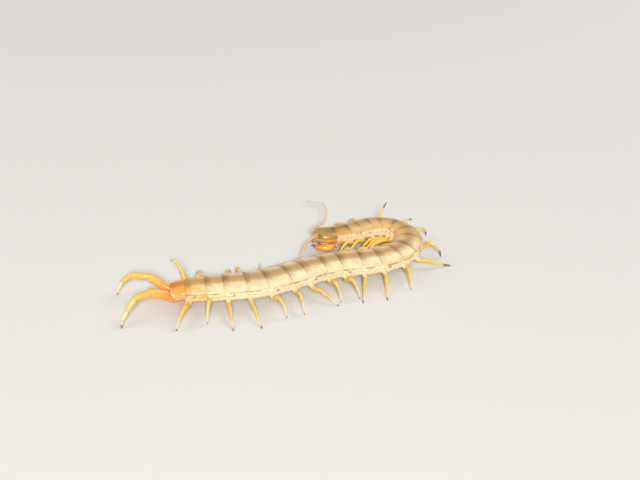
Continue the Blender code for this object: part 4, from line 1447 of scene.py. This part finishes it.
END_STEP = 0.2
SPINES = ((0.45, -0.55), (0.68, -0.5), (0.88, -0.6), (0.5, 0.35), (0.72, 0.4), (0.9, 0.5),
          (0.62, 1.15), (0.84, 1.2))       # share along the podomere and turn from below
SPINE_SINK, SPINE_OUT, SPINE_BACK, SPINE_RADIUS = 0.92, 0.32, 0.22, 0.12
END_SPUR_PLACE, END_SPUR_SIDE, END_SPUR_HEIGHT = 0.84, 0.75, 0.95
END_SPUR_REACH = (1.15, 0.25, 0.75)
END_SPUR_RADII = (0.55, 0.16)
END_SPUR_SPINES = ((-0.08, 0.0, -0.05), (0.3, 0.14, 0.12), 0.09)
END_SHADES = ((0.0, (0.80, 0.22, 0.025)), (0.08, (0.82, 0.27, 0.03)), (0.20, (0.80, 0.38, 0.045)),
              (0.42, (0.70, 0.44, 0.07)), (0.70, (0.64, 0.47, 0.12)), (0.93, (0.76, 0.60, 0.34)),
              (0.97, (0.14, 0.06, 0.03)), (1.0, (0.04, 0.018, 0.012)))
END_CLOUDS = (0.84, 0.52, 0.14)


def end_horn():
    """Vivid orange horn that fades to yellow towards the tips."""
    material = start_material("orange horn of the last legs", roughness=0.30, coat=0.4, bleed=0.25)
    along, _, _ = straight_place(material)
    paint(material, clouded(material, ramp(material, along, END_SHADES), END_CLOUDS, 450.0, 0.4))
    bumps(material, 2600.0, distance=0.0001, strength=0.3)
    return material


def end_leg_thorns(sign):
    """Spines and spur of the first podomere of a straight last leg."""
    run, near, far = END_PODOMERES[0]
    thorns = []
    for share, turn in SPINES:
        radius = near + (far - near) * share
        outward = Vector((0.0, sign * math.sin(turn), -math.cos(turn)))
        start = Vector((share * run * END_LENGTH, 0, 0)) + outward * (radius * SPINE_SINK)
        tip = start + outward * SPINE_OUT + Vector((SPINE_BACK, 0, 0))
        thorns.append(thorn(start, tip, SPINE_RADIUS, SPINE_POINT))
    corner = Vector((run * END_LENGTH * END_SPUR_PLACE, sign * END_SPUR_SIDE, END_SPUR_HEIGHT))
    back, out, up = END_SPUR_REACH
    peak = corner + Vector((back, sign * out, up))
    thorns.append(thorn(corner, peak, *END_SPUR_RADII, PROCESS_SIDES))
    return thorns + twin_spines(peak, *END_SPUR_SPINES)


end_material = end_horn()
end_stations, end_stops = podomere_stations(END_PODOMERES, END_LENGTH, END_INSET, END_HIP_RINGS,
                                            END_CLAW_POINT)
for sign in (LEFT, RIGHT):
    root = beside(BODY_END, sign * END_ROOT_SIDE, GAP / 2, END_ROOT_HEIGHT)
    joints = [root] + [beside(BODY_END, side, back, height)
                       for back, side, height in END_JOINTS[sign]]
    ahead = (beside(BODY_END, 0, 1, 0) - beside(BODY_END, 0, 0, 0)).normalized()
    leg = bar(f"end_leg_{SIDE_NAMES[sign]}", END_LEG_SIDES, round_outline, end_stations)
    soften(leg)
    leg = fuse([leg] + end_leg_thorns(sign), leg.name)
    mark_lengthwise(leg, END_LENGTH, 1.0)
    lay_leg(leg, END_PODOMERES, end_stops, [root - ahead * END_INSET] + joints, Vector((0, 0, 1)),
            step=END_STEP)
    finish_shell(leg, end_material, ROUND_ANGLE)
    settle(leg, "end_shell", f"terminal_leg_{SIDE_NAMES[sign]}")

# Floor, light and camera
# The model stands on a plain pale card in soft studio light. One softbox hangs
# close above the camera, and two weaker ones light the side and the back.
CAMERA_PITCH, CAMERA_ROLL = math.radians(31.5), math.radians(4.5)
CAMERA_DISTANCE = 320.0
CAMERA_AIM = (HEAD_FRONT[0] + 3.0, HEAD_FRONT[1] + 5.0, 0.0)
CAMERA_LENS, SENSOR_WIDTH = 50.68, 36.0
NEAREST_SEEN = 0.01
CARD_SIZE, CARD_COLOUR = 6.0, (0.64, 0.63, 0.61, 1.0)
ROOM_COLOUR, ROOM_LIGHT = (1.0, 1.0, 1.0, 1.0), 0.30
SOFTBOXES = (("key softbox", (0.10, -1.05, 0.72), 0.30, 17.0, (1.0, 0.98, 0.95)),
             ("side softbox", (-0.80, 0.10, 0.60), 0.6, 3.0, (1.0, 0.97, 0.94)),
             ("back softbox", (0.55, 0.60, 0.70), 0.6, 4.5, (1.0, 0.98, 0.96)))


def card_material():
    """Matt pale card."""
    material = start_material("pale card", roughness=0.9, coat=0.0, bleed=0.0)
    shader = material.node_tree.nodes["Principled BSDF"]
    shader.inputs["Base Color"].default_value = CARD_COLOUR
    return material


def softbox(name, where, size, power, colour):
    """A square soft light aimed at the middle of the model."""
    data = bpy.data.lights.new(name, "AREA")
    data.shape = "SQUARE"
    data.size = size
    data.energy = power
    data.color = colour
    lamp = bpy.data.objects.new(name, data)
    bpy.context.collection.objects.link(lamp)
    lamp.location = where
    lamp.rotation_euler = (-Vector(where)).to_track_quat("-Z", "Y").to_euler()


floor = added(bpy.ops.mesh.primitive_plane_add, size=CARD_SIZE, location=(0.0, 0.0, 0.0))
floor.name = "floor"
floor.data.materials.append(card_material())

away = Vector((0.0, math.cos(CAMERA_PITCH), -math.sin(CAMERA_PITCH)))
level_up = Vector((0.0, math.sin(CAMERA_PITCH), math.cos(CAMERA_PITCH)))
camera_right = Vector((1, 0, 0)) * math.cos(CAMERA_ROLL) + level_up * math.sin(CAMERA_ROLL)
camera_up = level_up * math.cos(CAMERA_ROLL) - Vector((1, 0, 0)) * math.sin(CAMERA_ROLL)
camera_place = (Vector(CAMERA_AIM) - away * CAMERA_DISTANCE) * MM
camera_data = bpy.data.cameras.new("camera")
camera_data.lens = CAMERA_LENS
camera_data.sensor_width = SENSOR_WIDTH
camera_data.clip_start = NEAREST_SEEN
camera = bpy.data.objects.new("camera", camera_data)
bpy.context.collection.objects.link(camera)
turned = Matrix((camera_right, camera_up, -away)).transposed().to_4x4()
camera.matrix_world = Matrix.Translation(camera_place) @ turned
bpy.context.scene.camera = camera

for box in SOFTBOXES:
    softbox(*box)
world = bpy.data.worlds.new("studio")
bpy.context.scene.world = world
world.use_nodes = True
world.node_tree.nodes["Background"].inputs["Color"].default_value = ROOM_COLOUR
world.node_tree.nodes["Background"].inputs["Strength"].default_value = ROOM_LIGHT
bpy.context.scene.view_settings.view_transform = "Standard"

bpy.data.objects.remove(body_line)
